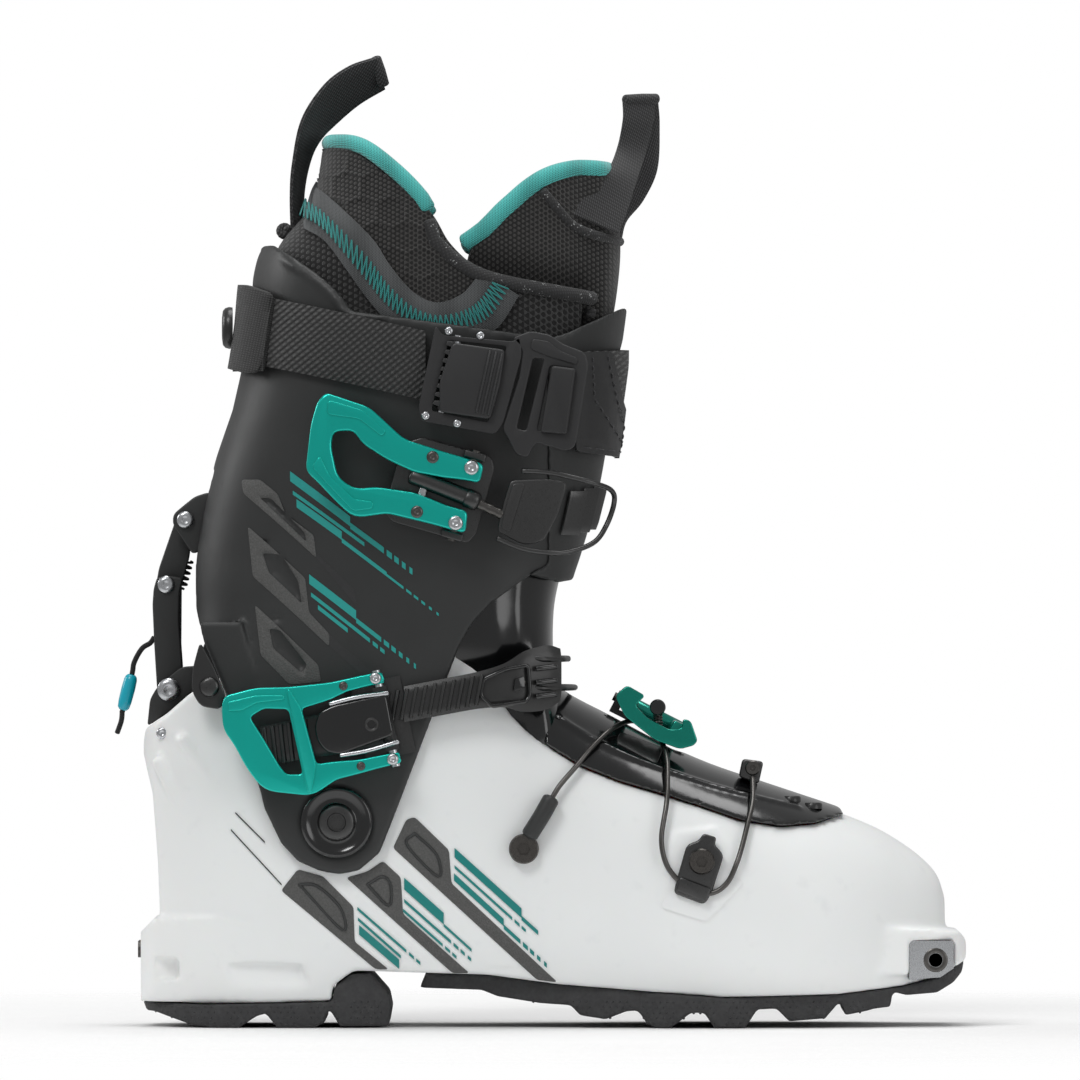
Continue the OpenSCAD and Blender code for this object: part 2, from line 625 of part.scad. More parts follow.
module cuff_inlays() color([0.35, 0.35, 0.35]) {
    strip(lane(-109, 192, -86, 171, 3, 5, 8), cuff_wall + 0.5, cuff_wall + 0.9);
    strip(lane(-108, 172, -81, 140, 9, 8, 8), cuff_wall + 0.5, cuff_wall + 0.9);
    strip(lane(-106, 144, -84, 126, 9, 6, 8), cuff_wall + 0.5, cuff_wall + 0.9);
}

module cuff_spoilers() color([0.2, 0.2, 0.2]) mirrored() {
    side([[-127, 138], [-129.6, 129.4], [-130, 121], [-126.9, 116], [-119.5, 114.6],
          [-117.6, 119], [-121.6, 129]], -48.4, -45.4);
    across(-123.6, 122.6, 3.6, -49.6, -48.3);
}

// ---------------------------------------------------------------- upper buckle

module on_upper() placed(upper_x, upper_y, upper_z, upper_tilt) children();

module upper_base() color([0.6, 0.6, 0.6]) on_upper() difference() {
    union() {
        translate([-26, 3, -16]) cube([34, 1.2, 32]);
        for (v = [-16.2, 13.4])
            translate([-4, -1.8, v]) cube([8, 5.9, 2.8]);
        for (foot_place = [[-20, 3.4], [4, 4.8]])
            translate([foot_place[0], 4, -10]) rotate([-90, 0, 0]) cylinder(r = 2.2, h = foot_place[1]);
    }
    translate([0, 0, -20]) cylinder(r = hinge_r + run, h = 40);
}

module upper_hinge_pin() color("silver") on_upper()
    for (v = [-16.8, 5.8])
        translate([0, 0, v]) cylinder(r = hinge_r, h = 11);

lever_outline = [[-57.6, 21.9], [-41, 21.2], [-26, 13.4], [-11.3, 12.9], [-1, 12.9], [-1, 6],
    [-8.7, 4.2],
    [-19.3, 3.2], [-29.8, 4.8], [-39.8, 7.8], [-44.3, 11.9], [-51.1, 9.2], [-50.4, 3.9], [-45, -6.2],
    [-38.1, -8.4], [-31, -5.6], [-17.4, -4], [-5.2, -5.2], [-1, -5.3], [-1, -12.9], [-8.1, -12.9],
    [-24.4, -13.7], [-35.6, -18.6], [-43.4, -14.6], [-51.5, -9.8], [-56.8, -7.1], [-59.6, 9.6],
    [-59.5, 18]];

module upper_lever() color([0.02, 0.55, 0.52]) on_upper() difference() {
    union() {
        side(lever_outline, -1.7 - lever_t, -1.7);
        for (v = [[-12.9, 7.6], [6, 6.9]])
            translate([-18, 0, v[0]]) hull() {
                translate([18, 0, 0]) cylinder(r = 2.8, h = v[1]);
                translate([3.6, -2, 0]) cylinder(r = 2.6, h = v[1]);
            }
    }
    translate([0, 0, -20]) cylinder(r = hinge_r + run, h = 40);
    translate([-14.4, -1.9, -20]) cylinder(r = hinge_r + run, h = 40);
}

module bail_barrel() color([0.65, 0.65, 0.66]) on_upper() translate([0, -1.9, 0]) {
    translate([-14.4, 0, -14.2]) cylinder(r = hinge_r, h = 28.4);
    translate([-17.6, 0, 0]) rotate([0, 85, 0]) cylinder(r = 2.8, h = 20.4);
    translate([2.6, 0, -2]) rotate([0, 93, 0]) cylinder(r = 1.8, h = 11.8);
}

module bail_clip() color([0.68, 0.68, 0.68]) on_upper()
    side([[15.4, 1.7], [14.6, 10], [27, 14], [34.6, 14.9], [34.3, 3.1], [31.9, -8.4], [25, -11.2],
          [15, -9]], -3.2, -1);

wire_plan = [[18, -2], [26, -2], [34, -2], [42, -0.4], [48, 3.6], [51.6, 9], [53.2, 14.4]];
module bail_wire() color([0.7, 0.7, 0.7]) on_upper() {
    cord([for (p = wire_plan) [p[0], p[1] - 2.2, 15.6 + (p[0] < 30 ? 0 : (p[0] - 30) * 0.06)]], 0.9,
        8, [0, 0, 1]);
    cord([for (p = wire_plan) [p[0], p[1] - 2.2, -10.8 + (p[0] < 30 ? 0 : (p[0] - 30) * 0.3)]], 0.9,
        8, [0, 0, 1]);
    cord([[53.2, 12.2, 17.4], [53.9, 12.8, 12], [53.9, 12.8, 4], [53.2, 12.2, -4.2]], 0.9);
}

module buckle_ladder() color([0.6, 0.6, 0.6])
    band([for (k = [0 : 2]) for (j = [0 : 2]) [-36 + 9 * k + 3.5 * j, 177 + k, 193 + k, j * 0.9]],
         cuff_wall + 1.2, cuff_wall + 2.2);

// ---------------------------------------------------------------- power strap

module strap_rear() color([0.22, 0.22, 0.22])
    strip([for (i = [0 : 7]) let (x = -100 + 7.4 * i) [x, 237.6 - 0.23 * (x + 100),
        262.6 - 0.22 * (x + 100)]],
          cuff_wall + 1.4, cuff_wall + 3.2);

module strap_sleeve() color([0.08, 0.08, 0.08])
    strip([[-112.6, 236.4, 264], [-109, 235.6, 268], [-104, 235, 268], [-99.6, 234.8, 266.6],
        [-96, 235, 264.6]],
          cuff_wall + 3.4, cuff_wall + 4.8);

module strap_screw() color([0.1, 0.1, 0.1]) translate([-116.6, 0, 252]) rotate([0, -90, 0])
    difference() {
        cylinder(r = 7.4, h = 3.4);
        translate([0, 0, 2.2]) cylinder(r = 3, h = 3, $fn = 6);
    }

module on_strap() placed(strap_x, strap_y, strap_z, strap_tilt) children();

module strap_frame() color([0.1, 0.1, 0.1]) on_strap() difference() {
    side([[-17.9, 15.9], [-14.8, 12.8], [10.4, 16.1], [12.5, 18.3], [15.6, 12], [13.5, -14],
          [11.5, -17.6], [-15.5, -18.8], [-17.4, -14]], -1, 2.4);
    side([[-13.6, 11], [8.6, 14], [8, -14], [-13.8, -14.4]], -3, 4);
    translate([cam_u, 0.7, -30]) cylinder(r = 1.5 + run, h = 60);
}

module strap_pin() color("silver") on_strap()
    translate([cam_u, 0.7, -17]) cylinder(r = 1.5, h = 31);

module strap_cam_lever() color([0.25, 0.25, 0.25]) on_strap() difference() {
    union() {
        translate([cam_u - 1, -3.4, -13.4]) cube([17, 3.2, 23.8]);
        translate([cam_u, 0.7, -13.4]) cylinder(r = 2.3, h = 23.8);
        translate([cam_u - 1, -2, -13.4]) cube([2, 3, 23.8]);
    }
    translate([cam_u, 0.7, -30]) cylinder(r = 1.5 + run, h = 60);
}

module strap_catch() color([0.1, 0.1, 0.1]) on_strap() difference() {
    side([[15.9, 13], [15.8, 20.6], [23, 21.2], [28, 19.2], [36.4, 17.6], [39.6, -16], [37.4, -17.6],
          [24.4, -17.4], [24, -23], [16, -18.6]], -1, 1.4);
    side([[25.4, 10.6], [33.5, 11.4], [34.6, -11.4], [26, -13]], -3, 4);
    side([[19, 12], [22.6, 12.6], [22, -14], [18.6, -14]], -3, 4);
}

module strap_front() color([0.22, 0.22, 0.22])
    band([for (i = [0 : 14]) let (a = -46 + 14 * i)
        [a, 208 + 0.06 * (a + 46), 243 + 0.05 * (a + 46), i < 8 ? 0 : 2]],
         cuff_wall + 2.4, cuff_wall + 4.4);

// ---------------------------------------------------------------- ankle buckle

module on_ankle() placed(ankle_x, ankle_y, ankle_z, ankle_tilt) children();

ankle_outline = [[-54.7, 20], [-43.5, 20.3], [-31.9, 18.3], [-17, 16.8], [-1.2, 16.6], [-1.2, 12.8],
    [-11.6, 12.4], [-18.3, 10.7], [-28.7, 9.7], [-27.6, -10.8], [-12.7, -12.4], [-1.2, -12.6],
    [-1.2, -16.8], [-21.8, -17.7], [-31.5, -21.7], [-48.1, -16.2], [-52.5, -6.8], [-57.8, 8.3],
    [-56.7, 16.3]];
ankle_window = [[-47.5, 10.6], [-42, 12.6], [-33.6, 10.6], [-33.6, -13], [-39, -12.2], [-43.9, 0.9]];

module ankle_base() color([0.6, 0.6, 0.6]) on_ankle() difference() {
    union() {
        translate([-10, 3.6, -14]) cube([18, 1.2, 28]);
        for (v = [-11.6, 9])
            translate([-2.4, -1.8, v]) cube([4.8, 6, 2.6]);
    }
    translate([0, 0, -20]) cylinder(r = hinge_r + run, h = 40);
}

module ankle_hinge_pin() color("silver") on_ankle() translate([0, 0, -17.6]) cylinder(r = hinge_r,
    h = 35.2);

module ankle_lever() color([0.02, 0.55, 0.52]) on_ankle() difference() {
    union() {
        side(ankle_outline, -1.7 - lever_t, -1.4);
        for (v = [-16.6, 12.4])
            translate([0, 0, v]) cylinder(r = 2.6, h = 4.2);
    }
    side(ankle_window, -10, 4);
    translate([0, 0, -20]) cylinder(r = hinge_r + run, h = 40);
}

module ankle_release_tab() color([0.02, 0.55, 0.52]) on_ankle() difference() {
    union() {
        side([[-25.4, 2.2], [-22.9, 7.2], [-17.5, 8.4], [-1, 8.4], [-1, -8.6], [-18.8, -8.6],
            [-23.4, -7], [-25.4, -3]], -5, -2.2);
        translate([0, 0, -8.4]) cylinder(r = 2.6, h = 16.6);
    }
    translate([0, 0, -20]) cylinder(r = hinge_r + run, h = 40);
}

ankle_strap_rows = [[-52.6, -48.4, 6.4], [-40, -48, 6.5], [-26.6, -47, 6.6], [-18, -45.6, 7.4],
    [-12, -44, 9.6], [-4, -41, 11.4], [1.2, -38, 9.6]];
module ankle_strap() color([0.1, 0.1, 0.1])
    loft([for (row = ankle_strap_rows)
        let (z = 116.6 + (row[0] + 52.6) * 0.19, y = row[1])
        [[row[0], y, z - row[2]], [row[0], y - 2.6, z - row[2]], [row[0], y - 2.6, z + row[2]],
         [row[0], y, z + row[2]]]]);

// Wire that carries the strap round the front of the ankle
ring_plan = [[2.8, -37.8], [5.4, -32.6], [8.6, -22], [10.4, -8], [10.4, 8], [8.6, 22], [4, 34],
    [-6, 42], [-18, 46.6],
    [-30, 47.6]];
module ankle_ring() color([0.7, 0.7, 0.7]) {
    for (z = [120, 133])
        cord([for (p = ring_plan) [p[0], p[1], z]], 0.9, 8, [0, 0, 1]);
    translate([-33, 46.2, 116]) cube([6, 2.6, 21]);
}

// ---------------------------------------------------------------- soft parts of the leg

liner_line = [[-109, 318], [-104, 322], [-86, 323.5], [-68, 315], [-50, 303], [-42, 296], [-27, 284],
    [-9, 275], [22, 266.5], [28, 259], [12, 200], [2, 165], [-17, 137], [-60, 110], [-120, 110],
    [-127, 150], [-127, 170], [-124, 200], [-110, 245], [-107, 280]];

module liner_cuff() color([0.15, 0.15, 0.15]) difference() {
    intersection() {
        leg_form(-0.8, 110, 325, 14, 32);
        side(liner_line, -60, 60);
        above_parting(parting_r + parting_gap);
    }
    leg_form(-9.5, 100, 330, 12, 28);
    // room for the tongue in front, and for the lock bar and the pull loop behind
    translate([-170, -12.4, 90]) cube([60, 24.8, 88]);
    translate([-170, -12.4, 170]) cube([53.5, 24.8, 28]);
    translate([-110, -11.4, 282.5]) cube([21.2, 22.8, 20]);
    side([[-14, 120], [-2, 236], [-6, 300], [60, 300], [60, 120]], -31, 31);
}

module liner_tongue() color([0.12, 0.12, 0.12]) difference() {
    intersection() {
        leg_form(-5, 140, 309, 10, 28);
        side([[-8, 152], [2, 236], [-2, 262], [-29, 286], [-23, 303], [-12, 309], [20, 311], [23, 296],
              [20.5, 282], [25, 266], [22, 240], [8, 190], [-2, 158]], -29, 29);
    }
    leg_form(-10, 100, 330, 12, 28);
}

// Pull loops: middle x and z, slope, half width across the boot and seen from the side
rear_loop = [[-92.6, 284, 88, 11, 2.2], [-92.2, 296, 84, 11, 2.6], [-91.6, 309, 80, 10.6, 3],
    [-89.6, 320, 66, 9.6, 4.4],
    [-82.4, 330.6, 48, 7.6, 7], [-73.4, 338.6, 38, 5.4, 8.4], [-63.6, 344.6, 30, 4, 6.6]];
front_loop = [[20.4, 284, 88, 9.6, 1.8], [21.6, 293, 74, 9.6, 2.4], [25.6, 301, 66, 8.6, 4.4],
    [29.4, 312, 78, 7, 6.8], [31.4, 324, 88, 5, 6.8], [30.8, 335, 96, 4, 6]];

module webbing_loop(rows) {
    loft([for (r = rows) let (n = [sin(r[2]), 0, -cos(r[2])], p = [r[0], 0, r[1]])
        [for (k = [[1, 1], [-1, 1], [-1, -1], [1, -1]]) p + k[0] * r[4] * n + [0, k[1] * r[3], 0]]]);
}

module rear_pull_loop() color([0.1, 0.1, 0.1]) webbing_loop(rear_loop);

module tongue_pull_loop() color([0.1, 0.1, 0.1]) webbing_loop(front_loop);

// ---------------------------------------------------------------- the boot

lower_shell();
shell_inlays();
sole_heel();
sole_forefoot();
toe_fitting();
heel_fitting();
heel_screws();
boot_board();
footbed();
liner_boot();
shell_tongue();
throat_cover();
throat_screws();
lock_bracket();
lock_pin();
cable_sleeve();
lace_cable();
cable_clip();
cable_screws();
cable_post();
instep_base();
instep_pin();
pivot_bolts();
cuff_shell();
cuff_flap();
cuff_inlays();
cuff_bracket();
guide_rivets();
cuff_spoilers();
upper_base();
upper_hinge_pin();
buckle_ladder();
strap_rear();
strap_sleeve();
strap_screw();
strap_frame();
strap_pin();
strap_catch();
strap_front();
ankle_base();
ankle_hinge_pin();
ankle_strap();
ankle_ring();
liner_cuff();
liner_tongue();
rear_pull_loop();
tongue_pull_loop();
lock_bar();
walk_pawl();
pull_cord();
cord_bead();
upper_lever();
bail_barrel();
bail_clip();
bail_wire();
ankle_lever();
ankle_release_tab();
instep_lever();
instep_knob();
strap_cam_lever();
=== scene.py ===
"""Alpine touring boot: the looks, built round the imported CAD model."""

import json
import math

import bmesh
import bpy
from mathutils import Matrix, Vector, geometry

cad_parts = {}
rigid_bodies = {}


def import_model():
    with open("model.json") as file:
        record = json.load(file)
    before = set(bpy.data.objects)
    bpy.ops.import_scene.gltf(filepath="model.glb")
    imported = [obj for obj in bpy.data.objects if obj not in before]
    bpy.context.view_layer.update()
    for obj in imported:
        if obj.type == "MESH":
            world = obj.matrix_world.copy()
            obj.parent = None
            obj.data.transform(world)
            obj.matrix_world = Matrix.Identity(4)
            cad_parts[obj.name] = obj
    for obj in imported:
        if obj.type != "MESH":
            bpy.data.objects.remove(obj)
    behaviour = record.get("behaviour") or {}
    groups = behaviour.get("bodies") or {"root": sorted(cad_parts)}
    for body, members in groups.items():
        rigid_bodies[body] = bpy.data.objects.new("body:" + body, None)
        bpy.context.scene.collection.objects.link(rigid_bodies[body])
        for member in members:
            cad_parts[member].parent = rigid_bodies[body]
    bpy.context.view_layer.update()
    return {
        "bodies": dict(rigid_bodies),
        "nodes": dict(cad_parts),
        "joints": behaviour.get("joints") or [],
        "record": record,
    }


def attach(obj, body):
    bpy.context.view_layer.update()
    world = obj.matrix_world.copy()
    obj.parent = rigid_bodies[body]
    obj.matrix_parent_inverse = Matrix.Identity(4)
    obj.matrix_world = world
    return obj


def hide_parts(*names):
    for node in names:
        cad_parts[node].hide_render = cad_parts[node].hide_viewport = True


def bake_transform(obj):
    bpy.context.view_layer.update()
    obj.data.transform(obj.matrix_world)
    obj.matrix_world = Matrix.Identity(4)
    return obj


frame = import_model()

MM = 0.001

# Places shared with the CAD model, in millimetres: x to the toe, y to the inner side, z up
PIVOT = (-78, 74)
BAR = (-139, 121.3)
GUIDE = (-133, 182.6)
PAWL = (-140, 159.2)
SHELL_WALL = 3.6
CUFF_WALL = 3.4
# Frames of the fittings: x, y, z and how far they tilt, in degrees
UPPER = (-32.4, -56, 191.2, 16)
ANKLE = (-60.3, -50.5, 111.3, -12)
STRAP = (-28.4, -60.6, 232.9, 12.7)
INSTEP = (36, 14, 111.5, 27)


# ---------------------------------------------------------------- camera, floor and light


def studio():
    """Camera square to the outer side of the boot, a pale floor and soft lamps."""
    distance = 6.0
    centre = Vector((-5.0, 0, 175.3)) * MM
    view_width = 388.8 * MM
    side_of_boot = 28 * MM
    camera = bpy.data.objects.new("camera", bpy.data.cameras.new("camera"))
    bpy.context.collection.objects.link(camera)
    camera.location = centre + Vector((0, -distance, 0))
    camera.rotation_euler = (math.radians(90), 0, 0)
    camera.data.sensor_width = 36
    camera.data.lens = 36 * (distance - side_of_boot) / view_width
    camera.data.clip_start = 0.05
    camera.data.clip_end = 60
    bpy.context.scene.camera = camera

    bpy.ops.mesh.primitive_plane_add(size=3, location=(0, 0, -0.0002))
    floor = bpy.context.object
    floor.name = "floor"
    floor.data.materials.append(plain_floor())

    world = bpy.data.worlds.new("studio")
    bpy.context.scene.world = world
    world.use_nodes = True
    background = world.node_tree.nodes["Background"]
    path = world.node_tree.nodes.new("ShaderNodeLightPath")
    level = world.node_tree.nodes.new("ShaderNodeMapRange")
    level.inputs["To Min"].default_value = 0.34
    level.inputs["To Max"].default_value = 1.0
    world.node_tree.links.new(path.outputs["Is Camera Ray"], level.inputs["Value"])
    world.node_tree.links.new(level.outputs["Result"], background.inputs["Strength"])
    background.inputs["Color"].default_value = (1, 1, 1, 1)
    bpy.context.scene.view_settings.view_transform = "Standard"

    lamp("key", (-0.7, -1.2, 1.5), (0, 0, 0.15), 0.7, 12)
    lamp("fill", (1.3, -1.2, 0.5), (0, 0, 0.12), 1.0, 4.5)
    lamp("rim", (-1.3, 0.4, 0.7), (-0.08, 0, 0.2), 0.6, 4)
    lamp("top", (0.1, 0.1, 1.5), (0, 0, 0.1), 1.0, 10)


def lamp(name, place, target, size, power):
    data = bpy.data.lights.new(name, "AREA")
    data.shape = "DISK"
    data.size = size
    data.energy = power
    light = bpy.data.objects.new(name, data)
    bpy.context.collection.objects.link(light)
    light.location = place
    aim = Vector(target) - Vector(place)
    light.rotation_euler = aim.to_track_quat("-Z", "Y").to_euler()


# ---------------------------------------------------------------- materials


# Every finished material, by name
MATERIALS = {}


class Tree:
    """A material's node tree. Textures read object coordinates in millimetres."""

    def __init__(self, name):
        self.name = name
        self.material = bpy.data.materials.new(name)
        self.material.use_nodes = True
        self.tree = self.material.node_tree
        self.shader = self.tree.nodes["Principled BSDF"]
        self.mm = self.mapped((1000, 1000, 1000))

    def node(self, kind, inputs=(), **settings):
        made = self.tree.nodes.new(kind)
        for key, value in settings.items():
            setattr(made, key, value)
        for key, value in dict(inputs).items():
            if isinstance(value, bpy.types.NodeSocket):
                self.tree.links.new(value, made.inputs[key])
            else:
                made.inputs[key].default_value = value
        return made

    def mapped(self, scale, rotation=(0, 0, 0)):
        place = self.node("ShaderNodeTexCoord").outputs["Object"]
        inputs = {"Vector": place, "Scale": scale, "Rotation": [math.radians(a) for a in rotation]}
        return self.node("ShaderNodeMapping", inputs).outputs["Vector"]

    def math(self, operation, a, b=0.0, clamp=False):
        return self.node("ShaderNodeMath", {0: a, 1: b}, operation=operation, use_clamp=clamp).outputs[0]

    def noise(self, per_mm, detail=3.0, stretch=None, rough=0.5):
        place = self.mm if stretch is None else self.mapped([1000 * s for s in stretch])
        inputs = {"Vector": place, "Scale": per_mm, "Detail": detail, "Roughness": rough}
        return self.node("ShaderNodeTexNoise", inputs).outputs["Fac"]

    def cells(self, per_mm, feature="F1", randomness=1.0):
        inputs = {"Vector": self.mm, "Scale": per_mm, "Randomness": randomness}
        return self.node("ShaderNodeTexVoronoi", inputs, feature=feature).outputs["Distance"]

    def stripes(self, direction, pitch, phase=0.0):
        """A cosine along a direction in millimetres, from 0 to 1."""
        turn = 2 * math.pi / pitch
        vector = Vector(direction).normalized() * turn
        inputs = {0: self.mm, 1: vector}
        along = self.node("ShaderNodeVectorMath", inputs, operation="DOT_PRODUCT").outputs["Value"]
        wave = self.math("COSINE", self.math("ADD", along, phase))
        return self.node("ShaderNodeMath", {0: wave, 1: 0.5, 2: 0.5}, operation="MULTIPLY_ADD").outputs[0]

    def blend(self, factor, low, high):
        """Colour from low to high."""
        inputs = {"Factor": factor}
        made = self.node("ShaderNodeMix", inputs, data_type="RGBA")
        for key, colour in (("A", low), ("B", high)):
            socket = [s for s in made.inputs if s.name == key and s.type == "RGBA"][0]
            if isinstance(colour, bpy.types.NodeSocket):
                self.tree.links.new(colour, socket)
            else:
                socket.default_value = (*colour, 1)
        return [s for s in made.outputs if s.type == "RGBA"][0]

    def ramp(self, value, low, high, to_low=0.0, to_high=1.0):
        names = {"Value": value, "From Min": low, "From Max": high, "To Min": to_low, "To Max": to_high}
        return self.node("ShaderNodeMapRange", names).outputs["Result"]

    def bump(self, height, depth_mm, below=None):
        inputs = {"Height": height, "Distance": depth_mm * MM, "Strength": 1.0}
        if below is not None:
            inputs["Normal"] = below
        return self.node("ShaderNodeBump", inputs).outputs["Normal"]

    def wear(self, amount):
        """Near 1 on sharp convex edges, broken up by noise."""
        point = self.node("ShaderNodeNewGeometry").outputs["Pointiness"]
        edge = self.ramp(point, 0.52, 0.6)
        return self.math("MULTIPLY", self.math("MULTIPLY", edge, self.noise(0.6, 5)), amount, clamp=True)

    def finish(self, colour=None, rough=None, normal=None, **values):
        for key, value in (("Base Color", colour), ("Roughness", rough), ("Normal", normal)):
            if value is None:
                continue
            if isinstance(value, bpy.types.NodeSocket):
                self.tree.links.new(value, self.shader.inputs[key])
            elif key == "Base Color":
                self.shader.inputs[key].default_value = (*value, 1)
            else:
                self.shader.inputs[key].default_value = value
        for key, value in values.items():
            self.shader.inputs[key.replace("_", " ")].default_value = value
        MATERIALS[self.name] = self.material
        return self.material


def srgb(*levels):
    """Linear colour from display levels of 0 to 255."""
    return tuple((v / 255 / 12.92) if v < 11 else ((v / 255 + 0.055) / 1.055) ** 2.4 for v in levels)


def scaled(colour, share):
    return tuple(c * share for c in colour)


def plain_floor():
    t = Tree("floor_paper")
    tone = t.blend(t.noise(0.02, 2), srgb(247, 247, 247), srgb(252, 252, 252))
    material = t.finish(tone, 0.85)
    place = t.node("ShaderNodeTexCoord").outputs["Object"]
    reach = t.node("ShaderNodeVectorMath", {0: place}, operation="LENGTH").outputs["Value"]
    t.tree.links.new(t.ramp(reach, 0.2, 0.5, 1.0, 0.0), t.shader.inputs["Alpha"])
    return material


def moulded(name, colour, rough=0.42, grain=0.02, wear=0.25, coat=0.0, spread=0.12):
    """Injection moulded plastic: faint flow variation, fine grain, scuffs and lighter worn edges."""
    t = Tree(name)
    cloudy = t.blend(t.noise(0.03, 4), scaled(colour, 1 - spread), colour)
    lighter = tuple(min(1, c * 1.5 + 0.03) for c in colour)
    worn = t.blend(t.wear(wear), cloudy, lighter)
    scuffs = t.ramp(t.noise(0.5, 6, (1, 1, 0.15), 0.7), 0.58, 0.75)
    smear = t.math("ADD", t.noise(0.06, 3), t.math("MULTIPLY", scuffs, 0.5))
    gloss = t.ramp(smear, 0.2, 1.2, rough * 0.82, min(1, rough * 1.3))
    fine = t.bump(t.noise(5, 2), grain)
    return t.finish(worn, gloss, t.bump(t.noise(0.08, 2), 0.12, fine), Coat_Weight=coat, Coat_Roughness=0.12)


def white_shell():
    t = Tree("white_shell")
    colour = t.blend(t.noise(0.02, 3), srgb(240, 240, 239), srgb(248, 248, 247))
    dusty = t.blend(t.ramp(t.noise(0.15, 6), 0.62, 0.8, 0, 0.25), colour, srgb(222, 223, 224))
    gloss = t.ramp(t.noise(0.4, 6, (1, 1, 0.3), 0.65), 0.3, 0.8, 0.36, 0.52)
    fine = t.bump(t.noise(4, 3), 0.012)
    return t.finish(dusty, gloss, t.bump(t.noise(0.05, 2), 0.15, fine), Subsurface_Weight=0.05)


def carbon_inlay(name, colour):
    """Dark insert with a fine pebbled texture, with painted shade in the pebble hollows and painted
    highlight on their ridges.
    """
    t = Tree(name)
    pebbles = t.cells(1.7)
    # Colour follows the pebble bump: painted shade in the hollows, painted highlight on the ridges.
    tone = t.blend(pebbles, scaled(colour, 0.75), scaled(colour, 1.2))
    return t.finish(tone, t.ramp(t.noise(1.2, 4), 0.3, 0.7, 0.5, 0.75), t.bump(pebbles, 0.12))


def anodised(name, colour, rough=0.3):
    """Teal anodised aluminium with faint brushing."""
    t = Tree(name)
    brushed = t.noise(6, 4, (0.05, 1, 1), 0.6)
    tone = t.blend(brushed, scaled(colour, 0.93), colour)
    worn = t.blend(t.wear(0.35), tone, tuple(min(1, c * 1.4 + 0.05) for c in colour))
    gloss = t.ramp(brushed, 0.3, 0.7, rough * 0.95, rough * 1.1)
    return t.finish(worn, gloss, t.bump(brushed, 0.004), Metallic=0.7, Coat_Weight=0.35, Coat_Roughness=0.12)


def steel(name, colour, rough=0.25):
    """Brushed metal with a few dull pits."""
    t = Tree(name)
    brushed = t.noise(9, 4, (1, 1, 0.15), 0.6)
    tone = t.blend(brushed, scaled(colour, 0.9), colour)
    pits = t.ramp(t.noise(1.1, 5), 0.6, 0.75)
    gloss = t.math("ADD", t.ramp(brushed, 0.3, 0.7, rough * 0.7, rough * 1.4),
        t.math("MULTIPLY", pits, 0.15))
    return t.finish(tone, gloss, t.bump(brushed, 0.003), Metallic=1.0)


def rubber(name, colour):
    """Matt sole rubber with dust in it."""
    t = Tree(name)
    dust = t.ramp(t.noise(0.25, 6), 0.45, 0.75, 0, 0.4)
    tone = t.blend(dust, colour, tuple(c * 1.7 + 0.004 for c in colour))
    return t.finish(tone, t.ramp(t.noise(0.8, 4), 0.3, 0.7, 0.62, 0.85), t.bump(t.noise(3, 4), 0.05))


def woven(name, colour, pitch=1.15, along=(1, 0, -0.22), across=(0.22, 0, 1), depth=0.16, sheen=0.15):
    """Webbing: ribs across the strap and threads along it, with painted shade in the low parts of the weave
    and painted highlight on its high parts.
    """
    t = Tree(name)
    over = t.stripes(along, pitch)
    under = t.stripes(across, pitch * 0.8)
    checks = t.math("MULTIPLY", over, under)
    ribs = t.math("ADD", checks, t.math("MULTIPLY", under, 0.5))
    fuzz = t.noise(2.5, 5)
    height = t.math("ADD", ribs, t.math("MULTIPLY", fuzz, 0.5))
    # Colour follows the weave's height: painted shade in its hollows, painted highlight on its ridges.
    tone = t.blend(t.ramp(height, 0.3, 1.5), scaled(colour, 0.25), scaled(colour, 1.6))
    return t.finish(tone, 0.8, t.bump(height, depth), Sheen_Weight=sheen, Sheen_Roughness=0.5)


def knitted(name, colour, pitch=1.1, holes=0.55, depth=0.25, sheen=0.25):
    """Spacer mesh: rows of small holes in a staggered grid, on a padded face; the holes are darkened with
    painted shade.
    """
    t = Tree(name)
    waves = [t.stripes((math.cos(a), math.sin(a) * 0.3, math.sin(a)), pitch) for a in (0.0, 2.094, 4.189)]
    total = t.math("ADD", t.math("ADD", waves[0], waves[1]), waves[2])
    hole = t.ramp(total, 1.9 * holes, 2.6 * holes)
    fuzz = t.noise(3, 4)
    height = t.math("ADD", t.math("MULTIPLY", hole, -1.0), t.math("MULTIPLY", fuzz, 0.3))
    # The holes are painted dark: painted shade where one looks into the mesh.
    tone = t.blend(hole, scaled(colour, 1.5), scaled(colour, 0.25))
    return t.finish(tone, 0.85, t.bump(height, depth), Sheen_Weight=sheen, Sheen_Roughness=0.4)


def speckled(name, colour):
    """Dark cord cover with light flecks in its weave, and painted shade in the grooves between its ribs."""
    t = Tree(name)
    ribs = t.math("MULTIPLY", t.stripes((1, 0.6, 0.3), 1.0), t.stripes((-0.3, 0.4, 1), 1.0))
    flecks = t.math("MULTIPLY", t.ramp(t.noise(0.35, 2), 0.56, 0.62), t.ramp(t.cells(1.3), 0.34, 0.22))
    # The flecks are the cord's own colour; the darkening where the ribs are low is painted shade.
    tone = t.blend(flecks, t.blend(ribs, scaled(colour, 0.5), colour), srgb(176, 178, 178))
    return t.finish(tone, 0.75, t.bump(ribs, 0.14), Sheen_Weight=0.15)


def foil_print(name, colour):
    t = Tree(name)
    tone = t.blend(t.noise(0.8, 5), scaled(colour, 0.9), colour)
    return t.finish(tone, t.ramp(t.noise(1, 3), 0.3, 0.7, 0.35, 0.5), t.bump(t.noise(4, 2), 0.01))


